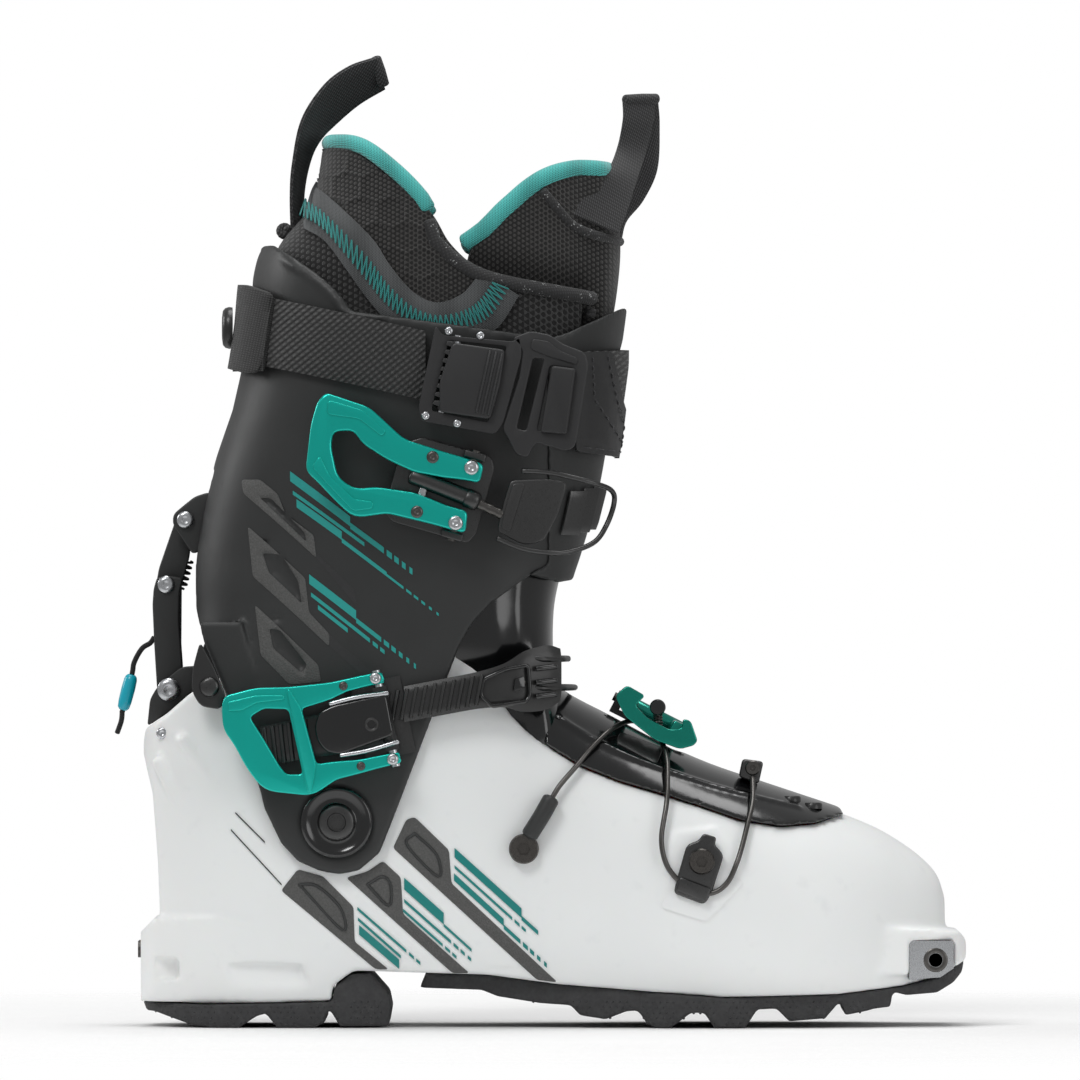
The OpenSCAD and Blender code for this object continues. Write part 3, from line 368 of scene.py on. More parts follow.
def paint():
    """Every finish of the boot, by the name of its material slot or use."""
    white_shell()
    moulded("cuff_dark", srgb(45, 46, 46), 0.5, 0.03)
    carbon_inlay("inlay_grey", srgb(82, 82, 81))
    moulded("black_plastic", srgb(38, 38, 38), 0.36, 0.02, coat=0.15)
    moulded("strap_plastic", srgb(44, 44, 45), 0.45, 0.03)
    moulded("tongue_gloss", srgb(14, 15, 16), 0.16, 0.005, coat=0.6)
    anodised("teal_lever", srgb(0, 194, 179))
    anodised("teal_gloss", srgb(0, 142, 124), 0.18)
    steel("bright_steel", srgb(205, 207, 210))
    steel("dark_steel", srgb(98, 96, 94), 0.33)
    steel("gunmetal", srgb(86, 86, 86), 0.34)
    steel("screw_steel", srgb(98, 95, 92), 0.28)
    knitted("liner_fabric", srgb(50, 50, 50), 1.9, 0.55, 0.35)
    knitted("liner_fine", srgb(52, 51, 50), 1.5, 0.55, 0.25)
    knitted("liner_band", srgb(80, 82, 83), 0.5, 0.7, 0.06)
    knitted("teal_rim", srgb(70, 170, 165), 0.55, 0.75, 0.06, 0.4)
    speckled("piping", srgb(52, 52, 53))
    woven("webbing", srgb(66, 66, 66), 2.2, (1, 0, 0.9), (1, 0, -1.3), 0.6)
    woven("sleeve_web", srgb(36, 36, 36), 1.0, depth=0.15)
    woven("loop_webbing", srgb(60, 60, 61), 1.1, (0.5, 0, 0.9), (0.9, 0.5, -0.4), 0.1)
    moulded("leatherette", srgb(36, 36, 37), 0.5, 0.06)
    woven("thread", srgb(70, 70, 72), 0.5, (1, 0, 1), (1, 0, -1), 0.05)
    woven("teal_thread", srgb(52, 150, 146), 0.5, (1, 0, 1), (1, 0, -1), 0.05)
    rubber("sole_rubber", srgb(52, 52, 53))
    knitted("foam", srgb(30, 80, 80), 0.7, 0.7, 0.05)
    woven("cord", srgb(30, 30, 31), 0.5, (0, 1, 1), (1, 0, 1), 0.06)
    moulded("bead_blue", srgb(10, 176, 198), 0.3, 0.005, 0.1, coat=0.3)
    foil_print("shell_print", srgb(8, 130, 126))
    foil_print("cuff_print", srgb(40, 160, 154))
    foil_print("thin_print", srgb(30, 32, 34))


# ---------------------------------------------------------------- surfaces of the foot and the leg

# x, centre y, half width, top z, roundness
FOOT = [
    (-148, 0, 14, 190, 3), (-146.8, 0, 20, 190, 3), (-143, 0, 28, 190, 3), (-135, 0, 34.2, 190, 3.2),
    (-122, 0, 38.4, 190, 3.6), (-104, 0, 40.8, 190, 4), (-84, 0, 41.2, 190, 4), (-60, 0, 41.2, 190, 4),
    (-44, 0, 41.2, 178, 3.8), (-34, 0.2, 41.2, 164, 3.4), (-22, 0.6, 41.4, 146, 3.1),
    (-10, 1, 42.5, 130, 2.8), (4, 1.8, 44.8, 119, 2.6), (20, 2.6, 47.6, 110.4, 2.5),
    (38, 3, 50.6, 100.8, 2.5), (56, 3.2, 52, 92.8, 2.5), (74, 3.6, 51.6, 86.6, 2.5),
    (90, 4.4, 49.2, 81.2, 2.5), (104, 5.4, 44.8, 76.4, 2.4), (117, 6.4, 38, 71, 2.3),
    (127, 7, 30, 65, 2.2), (134, 7.4, 22.5, 59.5, 2.2), (139, 7.6, 15, 53.5, 2.2),
    (141.5, 7.6, 8, 46, 2.2)]

# z, rear x, front x, half width, roundness
LEG = [
    (60, -131, -2, 42.2, 5), (100, -130, -1, 42.2, 5), (130, -127, 0, 42.2, 4.4),
    (150, -126, 0.6, 42.2, 3.8), (161, -126.2, 2.6, 42.6, 3.5), (170, -126, 5.5, 43.2, 3.2),
    (190, -122.6, 11.2, 45.4, 2.9), (210, -117.2, 15, 48.2, 2.7), (230, -111, 17.7, 51, 2.6),
    (250, -107.4, 21, 53, 2.5), (272, -105, 23.6, 54, 2.5), (283, -101, 24, 54, 2.5),
    (298, -88.5, 22.6, 53.6, 2.5), (325, -82.5, 22, 53, 2.5)]


def at(table, value, column):
    """A table's column at a value, on a smooth curve through its rows."""
    i = max(0, min(len(table) - 2, sum(row[0] <= value for row in table) - 1))
    a, b, c, d = table[max(0, i - 1)], table[i], table[i + 1], table[min(len(table) - 1, i + 2)]
    s = clamp((value - b[0]) / (c[0] - b[0]))
    rise = c[0] - b[0]
    m = (c[column] - a[column]) / (c[0] - a[0]) * rise
    n = (d[column] - b[column]) / (d[0] - b[0]) * rise
    start = (2 * s**3 - 3 * s * s + 1) * b[column] + (s**3 - 2 * s * s + s) * m
    return start + (3 * s * s - 2 * s**3) * c[column] + (s**3 - s * s) * n


def clamp(value):
    """Keeps a share between 0 and 1."""
    return max(0, min(1, value))


def power(v, e):
    return math.copysign(abs(v) ** e, v)


def foot_ring(x, inset, count, floor_z=-4):
    """Section of the foot across x, with its skin moved in by inset."""
    top, half, e = at(FOOT, x, 3) - inset, max(2, at(FOOT, x, 2) - inset), at(FOOT, x, 4)
    middle, high = (top + floor_z) / 2, (top - floor_z) / 2
    shifted = x - inset * x / 140 * (1.7 if x < 0 else 1)
    ring = []
    for i in range(count):
        a = 2 * math.pi * i / count
        y = at(FOOT, x, 1) + half * power(math.cos(a), 2 / e)
        ring.append(Vector((shifted, y, middle + high * power(math.sin(a), 2 / e))))
    return ring


def foot_y(x, z):
    """The y of the outer side of the foot at (x, z)."""
    top, e = at(FOOT, x, 3), at(FOOT, x, 4)
    middle, high = (top - 4) / 2, (top + 4) / 2
    return at(FOOT, x, 1) - at(FOOT, x, 2) * max(0, 1 - (abs(z - middle) / high) ** e) ** (1 / e)


def on_foot(x, z, d):
    """A point d off the outer side of the foot, at x and height z."""
    step = 0.5
    run = (foot_y(x + step, z) - foot_y(x - step, z)) / (2 * step)
    rise = (foot_y(x, z + step) - foot_y(x, z - step)) / (2 * step)
    normal = Vector((run, -1, rise)).normalized()
    return Vector((x, foot_y(x, z), z)) + normal * d


def leg_point(z, angle, d):
    """A point d off the leg at height z and angle, 0 in front and 90 on the inner side."""
    rear, front, wide, e = (at(LEG, z, column) for column in (1, 2, 3, 4))
    long = (front - rear) / 2
    c, s = math.cos(math.radians(angle)), math.sin(math.radians(angle))
    n = Vector((power(c, 2 - 2 / e) / long, power(s, 2 - 2 / e) / wide, 0)).normalized()
    place = Vector(((front + rear) / 2 + long * power(c, 2 / e), wide * power(s, 2 / e), z))
    return place + n * d


def leg_angle(z, x):
    """Angle round the leg at which (x, z) lies."""
    rear, front, e = (at(LEG, z, column) for column in (1, 2, 4))
    u = max(-0.999, min(0.999, (x - (front + rear) / 2) / ((front - rear) / 2)))
    return -math.degrees(math.acos(power(u, e / 2)))


def on_leg(x, z, d):
    """A point d off the outer side of the leg, at x and height z."""
    return leg_point(z, leg_angle(z, x), d)


# ---------------------------------------------------------------- building meshes


def make(name, points, faces, material, millimetres=True):
    """An object from points and faces."""
    scale = MM if millimetres else 1
    mesh = bpy.data.meshes.new(name)
    mesh.from_pydata([Vector(p) * scale for p in points], [], faces)
    mesh.update()
    built = bpy.data.objects.new(name, mesh)
    bpy.context.collection.objects.link(built)
    if material is not None:
        mesh.materials.append(MATERIALS[material])
    outward(built)
    return built


def outward(built):
    """Makes every face look outwards."""
    grid = bmesh.new()
    grid.from_mesh(built.data)
    bmesh.ops.recalc_face_normals(grid, faces=grid.faces)
    grid.to_mesh(built.data)
    grid.free()


def modify(built, kind, **settings):
    """Adds a modifier and applies it."""
    modifier = built.modifiers.new(kind, kind)
    for key, value in settings.items():
        setattr(modifier, key, value)
    graph = bpy.context.evaluated_depsgraph_get()
    mesh = bpy.data.meshes.new_from_object(built.evaluated_get(graph))
    built.modifiers.clear()
    old = built.data
    built.data = mesh
    bpy.data.meshes.remove(old)
    return built


def smooth(built, angle=35):
    for face in built.data.polygons:
        face.use_smooth = True
    if angle is not None:
        built.data.set_sharp_from_angle(angle=math.radians(angle))
    return built


def bevelled(built, width, segments=3, limit=35):
    modify(built, "BEVEL", width=width * MM, segments=segments, limit_method="ANGLE",
        angle_limit=math.radians(limit), use_clamp_overlap=True)
    return smooth(built, 50)


def boolean(built, other, operation):
    """Cuts, joins or intersects one mesh with another and drops the second."""
    modify(built, "BOOLEAN", object=other, operation=operation, solver="EXACT")
    discard(other)
    return built


def discard(built):
    mesh = built.data
    bpy.data.objects.remove(built)
    bpy.data.meshes.remove(mesh)


def join(name, parts):
    """One object from several, each keeping its own materials."""
    grid = bmesh.new()
    materials = []
    for part in parts:
        part.data.transform(part.matrix_world)
        slots = []
        for material in part.data.materials:
            if material not in materials:
                materials.append(material)
            slots.append(materials.index(material))
        piece = bmesh.new()
        piece.from_mesh(part.data)
        for face in piece.faces:
            face.material_index = slots[face.material_index] if slots else 0
        whole = bpy.data.meshes.new("part")
        piece.to_mesh(whole)
        piece.free()
        grid.from_mesh(whole)
        bpy.data.meshes.remove(whole)
        discard(part)
    mesh = bpy.data.meshes.new(name)
    grid.to_mesh(mesh)
    grid.free()
    for material in materials:
        mesh.materials.append(material)
    built = bpy.data.objects.new(name, mesh)
    bpy.context.collection.objects.link(built)
    return built


def remeshed(built, voxel, passes, material):
    """One even skin over everything that is joined, with softly rounded edges."""
    modify(built, "REMESH", mode="VOXEL", voxel_size=voxel * MM, adaptivity=0)
    modify(built, "SMOOTH", factor=0.5, iterations=passes)
    return painted(smooth(built, None), material)


def loft(name, rings, material):
    """A closed solid through rings of points."""
    count = len(rings[0])
    faces = [list(range(count))[::-1], [(len(rings) - 1) * count + i for i in range(count)]]
    for j in range(len(rings) - 1):
        for i in range(count):
            k = (i + 1) % count
            faces.append([j * count + i, j * count + k, (j + 1) * count + k, (j + 1) * count + i])
    return make(name, [p for ring in rings for p in ring], faces, material)


def spline(points, steps=6):
    """A smooth curve through points."""
    points = [Vector(p) for p in points]
    ends = [points[0] * 2 - points[1], *points, points[-1] * 2 - points[-2]]
    curve = []
    for i in range(1, len(ends) - 2):
        a, b, c, d = ends[i - 1 : i + 3]
        for k in range(steps):
            t = k / steps
            p = b * 2 + (c - a) * t + (a * 2 - b * 5 + c * 4 - d) * t * t + (b * 3 - a - c * 3 + d) * t**3
            curve.append(p / 2)
    return [*curve, points[-1]]


def tube(name, points, radius, material, sides=16, ends=True):
    """A round bar or cord along points, with rounded ends. radius may be a function from 0 to 1."""
    thick = radius if callable(radius) else lambda share: radius
    frames = []
    up = Vector((0.13, 1, 0.07))
    for i, point in enumerate(points):
        t = (points[min(i + 1, len(points) - 1)] - points[max(i - 1, 0)]).normalized()
        u = (up - t * up.dot(t)).normalized()
        up = u
        frames.append((point, t, u, t.cross(u)))
    rings = []

    def ring(place, u, v, r):
        rings.append([place + (u * c + v * s) * r for c, s in circle(sides)])

    first, last = frames[0], frames[-1]
    if ends:
        for a in (78, 52, 26):
            a = math.radians(a)
            ring(first[0] - first[1] * thick(0) * math.sin(a) * 0.5, first[2], first[3],
                thick(0) * math.cos(a))
    for i, (point, t, u, v) in enumerate(frames):
        ring(point, u, v, thick(i / (len(frames) - 1)))
    if ends:
        for a in (26, 52, 78):
            a = math.radians(a)
            ring(last[0] + last[1] * thick(1) * math.sin(a) * 0.5, last[2], last[3], thick(1) * math.cos(a))
    return smooth(loft(name, rings, material), 60)


def rounded(outline, radius, steps=4):
    """An outline with its corners turned into arcs. radius is one number, or one for each corner."""
    count = len(outline)
    result = []
    for i in range(count):
        p = Vector(outline[i])
        a, b = Vector(outline[i - 1]) - p, Vector(outline[(i + 1) % count]) - p
        r = radius[i] if isinstance(radius, (list, tuple)) else radius
        reach = min(r, a.length * 0.45, b.length * 0.45)
        start, end = p + a.normalized() * reach, p + b.normalized() * reach
        for k in range(steps + 1):
            t = k / steps
            result.append(start * (1 - t) ** 2 + p * 2 * t * (1 - t) + end * t * t)
    return result


def prism(name, outline, y0, y1, material):
    """An outline of x and z, from one y to another."""
    count = len(outline)
    points = [(p[0], y, p[1]) for y in (y0, y1) for p in outline]
    faces = [list(range(count)), list(range(count, 2 * count))[::-1]]
    faces += [[i, (i + 1) % count, count + (i + 1) % count, count + i] for i in range(count)]
    return make(name, points, faces, material)


def plate(name, outline, y0, y1, material, edge=0.5, corner=1.5):
    """A flat plate with rounded corners and edges."""
    return bevelled(prism(name, rounded(outline, corner), y0, y1, material), edge)


def turned(name, profile, material, sides=40):
    """A solid turned about +Y: profile is a list of radius and y."""
    rings = [[Vector((r * c, y, r * s)) for c, s in circle(sides)] for r, y in profile]
    return smooth(loft(name, rings, material), 40)


def box(name, low, high, material, edge=0.4):
    return bevelled(prism(name, rect(low[0], low[2], high[0], high[2]), low[1], high[1], material), edge)


def circle(count):
    """Cosines and sines of evenly spaced turns."""
    turns = [2 * math.pi * k / count for k in range(count)]
    return [(math.cos(a), math.sin(a)) for a in turns]


def arc(centre, radius, count=24):
    return [(centre[0] + radius * c, centre[1] + radius * s) for c, s in circle(count)]


def rect(x0, z0, x1, z1):
    return [(x0, z0), (x1, z0), (x1, z1), (x0, z1)]


def cut(built, outline, y0, y1, operation="DIFFERENCE"):
    """Takes an upright prism away from a piece, or keeps only what is in it."""
    return boolean(built, prism("cut", outline, y0, y1, None), operation)


def placed(built, place):
    """Moves a piece from its own frame to x, y, z and a tilt about the y axis."""
    x, y, z, tilt = place
    turn = Matrix.Translation(Vector((x, y, z)) * MM) @ Matrix.Rotation(math.radians(tilt), 4, "Y")
    built.data.transform(turn)
    return built


def shifted(built, x=0, y=0, z=0):
    built.data.transform(Matrix.Translation(Vector((x, y, z)) * MM))
    return built


def mirrored(built):
    """A copy on the inner side."""
    copy = built.copy()
    copy.data = built.data.copy()
    bpy.context.collection.objects.link(copy)
    copy.data.transform(Matrix.Scale(-1, 4, (0, 1, 0)))
    copy.data.flip_normals()
    return copy


def ride_twice(built, body, node, slot, inner_name=None):
    """Rides a piece and its copy on the inner side; the piece stands for the CAD node of both."""
    other = mirrored(built)
    if inner_name:
        other.name = inner_name
    ride(built, body, node, slot=slot)
    return ride(other, body, slot=slot)


def inside(point, outline):
    """Tells whether a point lies in an outline."""
    hit = False
    for i, a in enumerate(outline):
        b = outline[i - 1]
        if (a[1] > point[1]) != (b[1] > point[1]):
            if point[0] < (b[0] - a[0]) * (point[1] - a[1]) / (b[1] - a[1]) + a[0]:
                hit = not hit
    return hit


def skin(name, outline, surface, d0, d1, material, step=3.0, round_edge=0.0):
    """A panel that follows a surface: an outline of x and z, between two heights off the surface."""
    edge = []
    for i, a in enumerate(outline):
        a, b = Vector(a[:2]), Vector(outline[(i + 1) % len(outline)][:2])
        pieces = max(1, math.ceil((b - a).length / step))
        edge += [a.lerp(b, k / pieces) for k in range(pieces)]
    low = [min(p[k] for p in edge) for k in (0, 1)]
    high = [max(p[k] for p in edge) for k in (0, 1)]
    grid = []
    for i in range(1, int((high[0] - low[0]) / step) + 1):
        for j in range(1, int((high[1] - low[1]) / step) + 1):
            p = Vector((low[0] + i * step, low[1] + j * step))
            near = min((p - q).length for q in edge)
            if near > step * 0.55 and inside(p, outline):
                grid.append(p)
    border = [(i, (i + 1) % len(edge)) for i in range(len(edge))]
    points, _, flat, _, _, _ = geometry.delaunay_2d_cdt(edge + grid, border, [], 1, 1e-5)
    count = len(points)
    solid = [surface(p[0], p[1], d1) for p in points] + [surface(p[0], p[1], d0) for p in points]
    used = {}
    for face in flat:
        for i in range(len(face)):
            pair = (face[i], face[(i + 1) % len(face)])
            used[pair] = used.get(pair, 0) + 1
    faces = [list(face) for face in flat] + [[count + i for i in face][::-1] for face in flat]
    faces += [[b, a, count + a, count + b] for a, b in used if (b, a) not in used]
    built = make(name, solid, faces, material)
    return bevelled(built, round_edge, 2) if round_edge else smooth(built, 40)


def ribbon(name, rows, thickness, material, across=10, crown=0.0, steps=5):
    """A strap: rows of lower edge, upper edge and outward normal, along a smooth curve."""
    lows = spline([r[0] for r in rows], steps)
    highs = spline([r[1] for r in rows], steps)
    outs = spline([r[2] for r in rows], steps)
    rings = []
    for low, high, out in zip(lows, highs, outs):
        out = out.normalized()
        upper, under = [], []
        for k in range(across + 1):
            s = k / across
            soft = min(1, 4 * min(s, 1 - s) + 0.35)
            rise = thickness * (0.5 + 0.5 * soft) + crown * math.sin(math.pi * s)
            middle = low.lerp(high, s)
            upper.append(middle + out * rise)
            under.append(middle + out * thickness * (0.5 - 0.5 * soft))
        rings.append(upper + under[::-1])
    return smooth(loft(name, rings, material), 60)


def ride(built, body, *replaced, slot):
    """Parents a finished mesh to a CAD body and hides the CAD nodes that it replaces."""
    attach(built, body)
    if replaced:
        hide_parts(*replaced)
    return built


def painted(built, material):
    built.data.materials.clear()
    built.data.materials.append(MATERIALS[material])
    return built


def repaint(node, material, edge=0.0):
    """Gives a CAD node a finish and slightly rounded edges."""
    shown = painted(frame["nodes"][node], material)
    if edge:
        modifier = shown.modifiers.new("edge", "BEVEL")
        modifier.width = edge * MM
        modifier.segments = 2
        modifier.limit_method = "ANGLE"
        modifier.angle_limit = math.radians(40)


# ---------------------------------------------------------------- pull cord of the walk lock

CORD_ROUTE = [(-144.6, 0, 140), (-146, 0, 138), (-149, 0, 136), (-151.8, 0, 131), (-152.6, 0, 126.6)]
BEAD = [(-152.6, 0, 126.6), (-155.9, 0, 113.8)]
TAIL_ROUTE = [(-155.9, 0, 113.8), (-156.1, 0, 113.4), (-156.4, 0, 110), (-157.9, 0, 105.6)]
CORD_RADIUS = 0.95


def pull_cord():
    """A thin cord from the pawl, through a bead, to a melted end."""
    line = spline(CORD_ROUTE + TAIL_ROUTE, 4)
    cord = tube("pull_cord_line", line, CORD_RADIUS, "cord", 12)
    bead_axis = Vector(BEAD[1]) - Vector(BEAD[0])
    profile = [(1.3, 0), (2.0, 0.05), (2.35, 0.14), (2.5, 0.4), (2.4, 0.75), (2.1, 0.93), (1.3, 1)]
    rings = []
    side = Vector((0, 1, 0))
    across = bead_axis.normalized().cross(side)
    for radius, share in profile:
        middle = Vector(BEAD[0]) + bead_axis * share
        rings.append([middle + (across * c + side * s) * radius for c, s in circle(28)])
    bead = smooth(loft("pull_bead", rings, "bead_blue"), 50)
    ride(bead, "pawl", slot="bead_blue")
    ride(cord, "pawl", "pull_cord", "cord_bead", slot="cord")
    path = [p * MM for p in line]
    length = sum((b - a).length for a, b in zip(path, path[1:]))
    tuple(path[0])


# ---------------------------------------------------------------- lower shell and sole

# Outlines seen from the side (x, z)
SHELL_LINE = [
    (-149, 9), (-149, 33), (-141.8, 39), (-142.6, 60), (-144.5, 84), (-148.5, 100), (-147.2, 107.4),
    (-140, 112), (-132, 119), (-118, 127), (-98, 134), (-70, 141), (-36, 144.5), (-29.5, 141),
    (-27.4, 129.6), (-15.8, 112.7), (-10, 106.6), (-0.4, 100), (9, 94), (23.4, 88.2), (40.3, 83.2),
    (54.7, 78.5), (67.3, 74.2), (81.7, 72), (94.3, 73), (100.1, 75.2), (115, 90), (160, 90), (160, 24),
    (148.8, 24), (139, 17.6), (125, 14.5), (103, 12), (60, 11), (2, 15.5), (-24, 19), (-72, 20.5),
    (-79.5, 15), (-80, 9.4), (-126, 8.3), (-142, 9.4)]
COVER_LINE = [
    (-3, 126), (4, 126), (5.8, 121.7), (17.3, 114.1), (43.2, 99.4), (61.2, 94.5), (88.2, 86), (102.6, 80),
    (104.8, 76), (100.5, 75.4), (94.3, 73.5), (81.7, 72.5), (67.3, 74.7), (54.7, 79), (40.3, 83.7),
    (23.4, 88.7), (9, 94.5), (-3, 102)]


def foot_solid(name, inset, stations=90, count=120):
    """The foot as a closed solid, its surface pulled in by inset."""
    xs = [-148 + 289.5 * (0.5 - 0.5 * math.cos(math.pi * i / stations)) for i in range(stations + 1)]
    return loft(name, [foot_ring(x, inset, count) for x in xs], None)


def disc_chain(name, middles, z0, z1):
    """A slab whose plan is the outline round several discs, one ring of points for each height."""
    points = []
    for x, y, r in middles:
        points += [Vector(p) for p in arc((x, y), r, 72)]
    hull = geometry.convex_hull_2d(points)
    plan = [points[i] for i in hull]
    rings = [[Vector((p.x, p.y, z)) for p in plan] for z in (z0, z1)]
    return loft(name, rings, None)


def capsule(name, a, b, radius):
    return tube(name, spline([a, b], 8), radius, None, 12)


def lower_shell():
    outer = cut(foot_solid("shell", 0), SHELL_LINE, -80, 80, "INTERSECT")
    toe_lip = disc_chain("toe_lip", [(134.8, -12, 14), (134.8, 24, 14), (100, -20, 14), (100, 28, 14)], 17,
        36)
    lip_side = [(84, 20), (139, 18), (148.8, 24), (148.8, 31), (146, 34.5), (120, 36), (84, 34)]
    cut(toe_lip, lip_side, -80, 80, "INTERSECT")
    heel_lip = foot_solid("heel_lip", 0)
    for v in heel_lip.data.vertices:
        share = clamp((-100 - v.co.x / MM) / 40)
        v.co.x -= 2 * MM * share
        v.co.y *= 1 + 0.06 * share
    heel_side = [(-149, 9), (-149, 34), (-144, 39), (-122, 39), (-100, 34), (-100, 9)]
    extras = [toe_lip, cut(heel_lip, heel_side, -80, 80, "INTERSECT")]
    creases = [((-143, 96), (-131, 73), 34.6), ((-134, 104), (-112, 74), 38.4),
        ((-112, 74), (-100, 58), 40.6)]
    for start, end, y in creases:
        for s in (-1, 1):
            extras.append(capsule("crease", (start[0], s * (y - 3.6), start[1]),
                (end[0], s * (y - 1.6), end[1]), 2.6))
    boss = [(38.2, 46), (40, 60), (43.5, 70), (58, 72), (66.5, 60), (67.5, 52), (54.7, 39.5)]
    extras.append(skin("boss", boss, on_foot, -2, 0.9, None))
    heel_band = [(-141, 40), (-120, 40), (-112, 30), (-112, 11), (-141, 11)]
    extras.append(skin("band", heel_band, on_foot, -2, 0.7, None))
    shell = join("shell_body", [outer, *extras])
    modify(shell, "REMESH", mode="VOXEL", voxel_size=1.0 * MM, adaptivity=0)
    hollow = foot_solid("hollow", SHELL_WALL, 60, 80)
    boolean(shell, cut(hollow, rect(-200, 22, 200, 220), -90, 90, "INTERSECT"), "DIFFERENCE")
    for cutter in shell_cutters():
        boolean(shell, cutter, "DIFFERENCE")
    remeshed(shell, 1.0, 5, "white_shell")
    ride(shell, "lower_boot", "lower_shell", slot="white_shell")


def shell_cutters():
    """Waist under the arch, recesses in the heel, seats for the fittings and the pivot holes."""
    cutters = []
    for s in (-1, 1):
        waist = turned("waist", [(46, 0), (46, 24)], None, 64)
        waist.data.transform(Matrix.Rotation(math.radians(90), 4, "X"))
        cutters.append(shifted(waist, -20, s * 82, -2))
        recess = rounded([(-117.6, 23), (-91, 23), (-88.2, 14.8), (-115, 14.8)], 2)
        cutters.append(prism("recess", recess, s * 60, s * 35, None))
        notch = rounded([(-144.4, 25), (-135, 25), (-134.6, 17), (-143, 17)], 1.5)
        cutters.append(prism("notch", notch, s * 60, s * 25.5, None))
    cutters.append(prism("pivot", arc(PIVOT, 4.2, 24), -70, 70, None))
    seat = [(127.9, 16.9), (139.2, 17.8), (144.1, 21.1), (144.1, 31.1), (127.9, 31.1)]
    for low, high in ((-60, -14), (26, 60)):
        cutters.append(prism("seat", seat, low, high, None))
    cutters.append(prism("heel_seat", rect(-155, 10, -141.4, 34), -13.2, 13.2, None))
    return cutters


INLAYS = [
    [(-98, 49.4), (-92, 57), (-83, 54.5), (-72, 43.5), (-71.6, 31), (-59.4, 21), (-64, 21)],
    [(-74.6, 54), (-67, 56.2), (-61.4, 60), (-55, 54.1), (-54.2, 41), (-30.4, 19.6), (-36.4, 19.6)],
    [(-57.8, 64.7), (-53, 74.9), (-50, 75.8), (-37.7, 63.9), (-36.8, 52), (1.2, 16.4), (-6, 17.2)]]
INLAY_POCKETS = [
    [(-91.5, 51.6), (-85, 51), (-76.6, 43), (-76, 35.2)], [(-67, 51.6), (-61.4, 54.4), (-58.6, 51),
    (-59.4, 44)], [(-50, 70), (-42, 62), (-41.6, 54.4), (-52.8, 65.8)]]


def shell_inlays():
    """Textured stripes across the side, each with a raised rim round its upper pocket."""
    parts = []
    for outline, pocket in zip(INLAYS, INLAY_POCKETS):
        parts.append(skin("stripe", rounded(outline, 1.2), on_foot, -0.4, 0.35, "inlay_grey", 2.5, 0.15))
        rim = spline([on_foot(x, z, 0.35) for x, z in [*pocket, pocket[0]]], 5)
        parts.append(tube("rim", rim, 0.55, "cuff_dark", 8))
    both = join("inlay_stripes", parts)
    other = ride_twice(both, "lower_boot", "shell_inlays", "inlay_grey")
    for vertex in other.data.vertices:
        vertex.co.y += 2 * at(FOOT, vertex.co.x / MM, 1) * MM


# Printed bars: start, end, width, and how many dashes follow
SHELL_BARS = [
    ((-70.6, 42.4), (-53, 27), 1.1, 2), ((-70.4, 38.6), (-55, 25.0), 1.1, 0),
    ((-70, 33.6), (-55.6, 21.2), 3.4, 0), ((-53.8, 49.8), (-39.6, 37.2), 4.2, 0),
    ((-39.6, 36.4), (-29.6, 27.4), 1.1, 0), ((-53.8, 45.2), (-37, 30.3), 1.2, 3),
    ((-54.2, 41.8), (-40, 29.2), 1.1, 2), ((-35.7, 61.3), (-11.6, 39.6), 3.4, 0),
    ((-11.6, 38.8), (-5.6, 33.4), 1.6, 0), ((-35.7, 57.4), (-15, 38.8), 1.1, 2),
    ((-35.9, 53.0), (-18, 36.6), 2.6, 0), ((-18, 35.6), (-12, 30.2), 1.6, 4)]
LABEL_BARS = [((-114.4, 77), (-103.8, 66.4), 0.6, 0), ((-116, 70.9), (-97.8, 51.2), 0.6, 0)]
CUFF_BARS = [
    ((-93.6, 196.4), (-73, 180.2), 3.6, 0), ((-73, 179.4), (-61, 170.4), 2.2, 4),
    ((-92.8, 191.6), (-68, 173), 1.4, 0), ((-91.6, 187), (-76, 175.4), 3.0, 0),
    ((-76, 174.4), (-60, 162.2), 1.6, 0), ((-60, 162.2), (-54, 157.6), 1.0, 5),
    ((-87.6, 159.6), (-71, 146.6), 3.4, 0), ((-87, 155), (-66, 138.4), 1.5, 2),
    ((-71, 145.6), (-62, 138.6), 1.8, 5), ((-84.6, 150.4), (-74, 142), 1.6, 0)]


def printed_bars(name, bars, surface, d, colour):
    """Speed lines: slanted bars, some of them breaking up into dashes."""
    parts = []
    for start, end, width, dashes in bars:
        a, b = Vector(start), Vector(end)
        along = (b - a).normalized()
        runs = [(a, b)]
        for k in range(dashes):
            dash = b + along * (1.2 + 3.4 * k)
            runs.append((dash, dash + along * (2.4 - 0.35 * k)))
        up = Vector((0, width))
        for p, q in runs:
            parts.append(skin("bar", [p, q, q + up, p + up], surface, d - 0.05, d + 0.06, colour, 2.5))
    return join(name, parts)


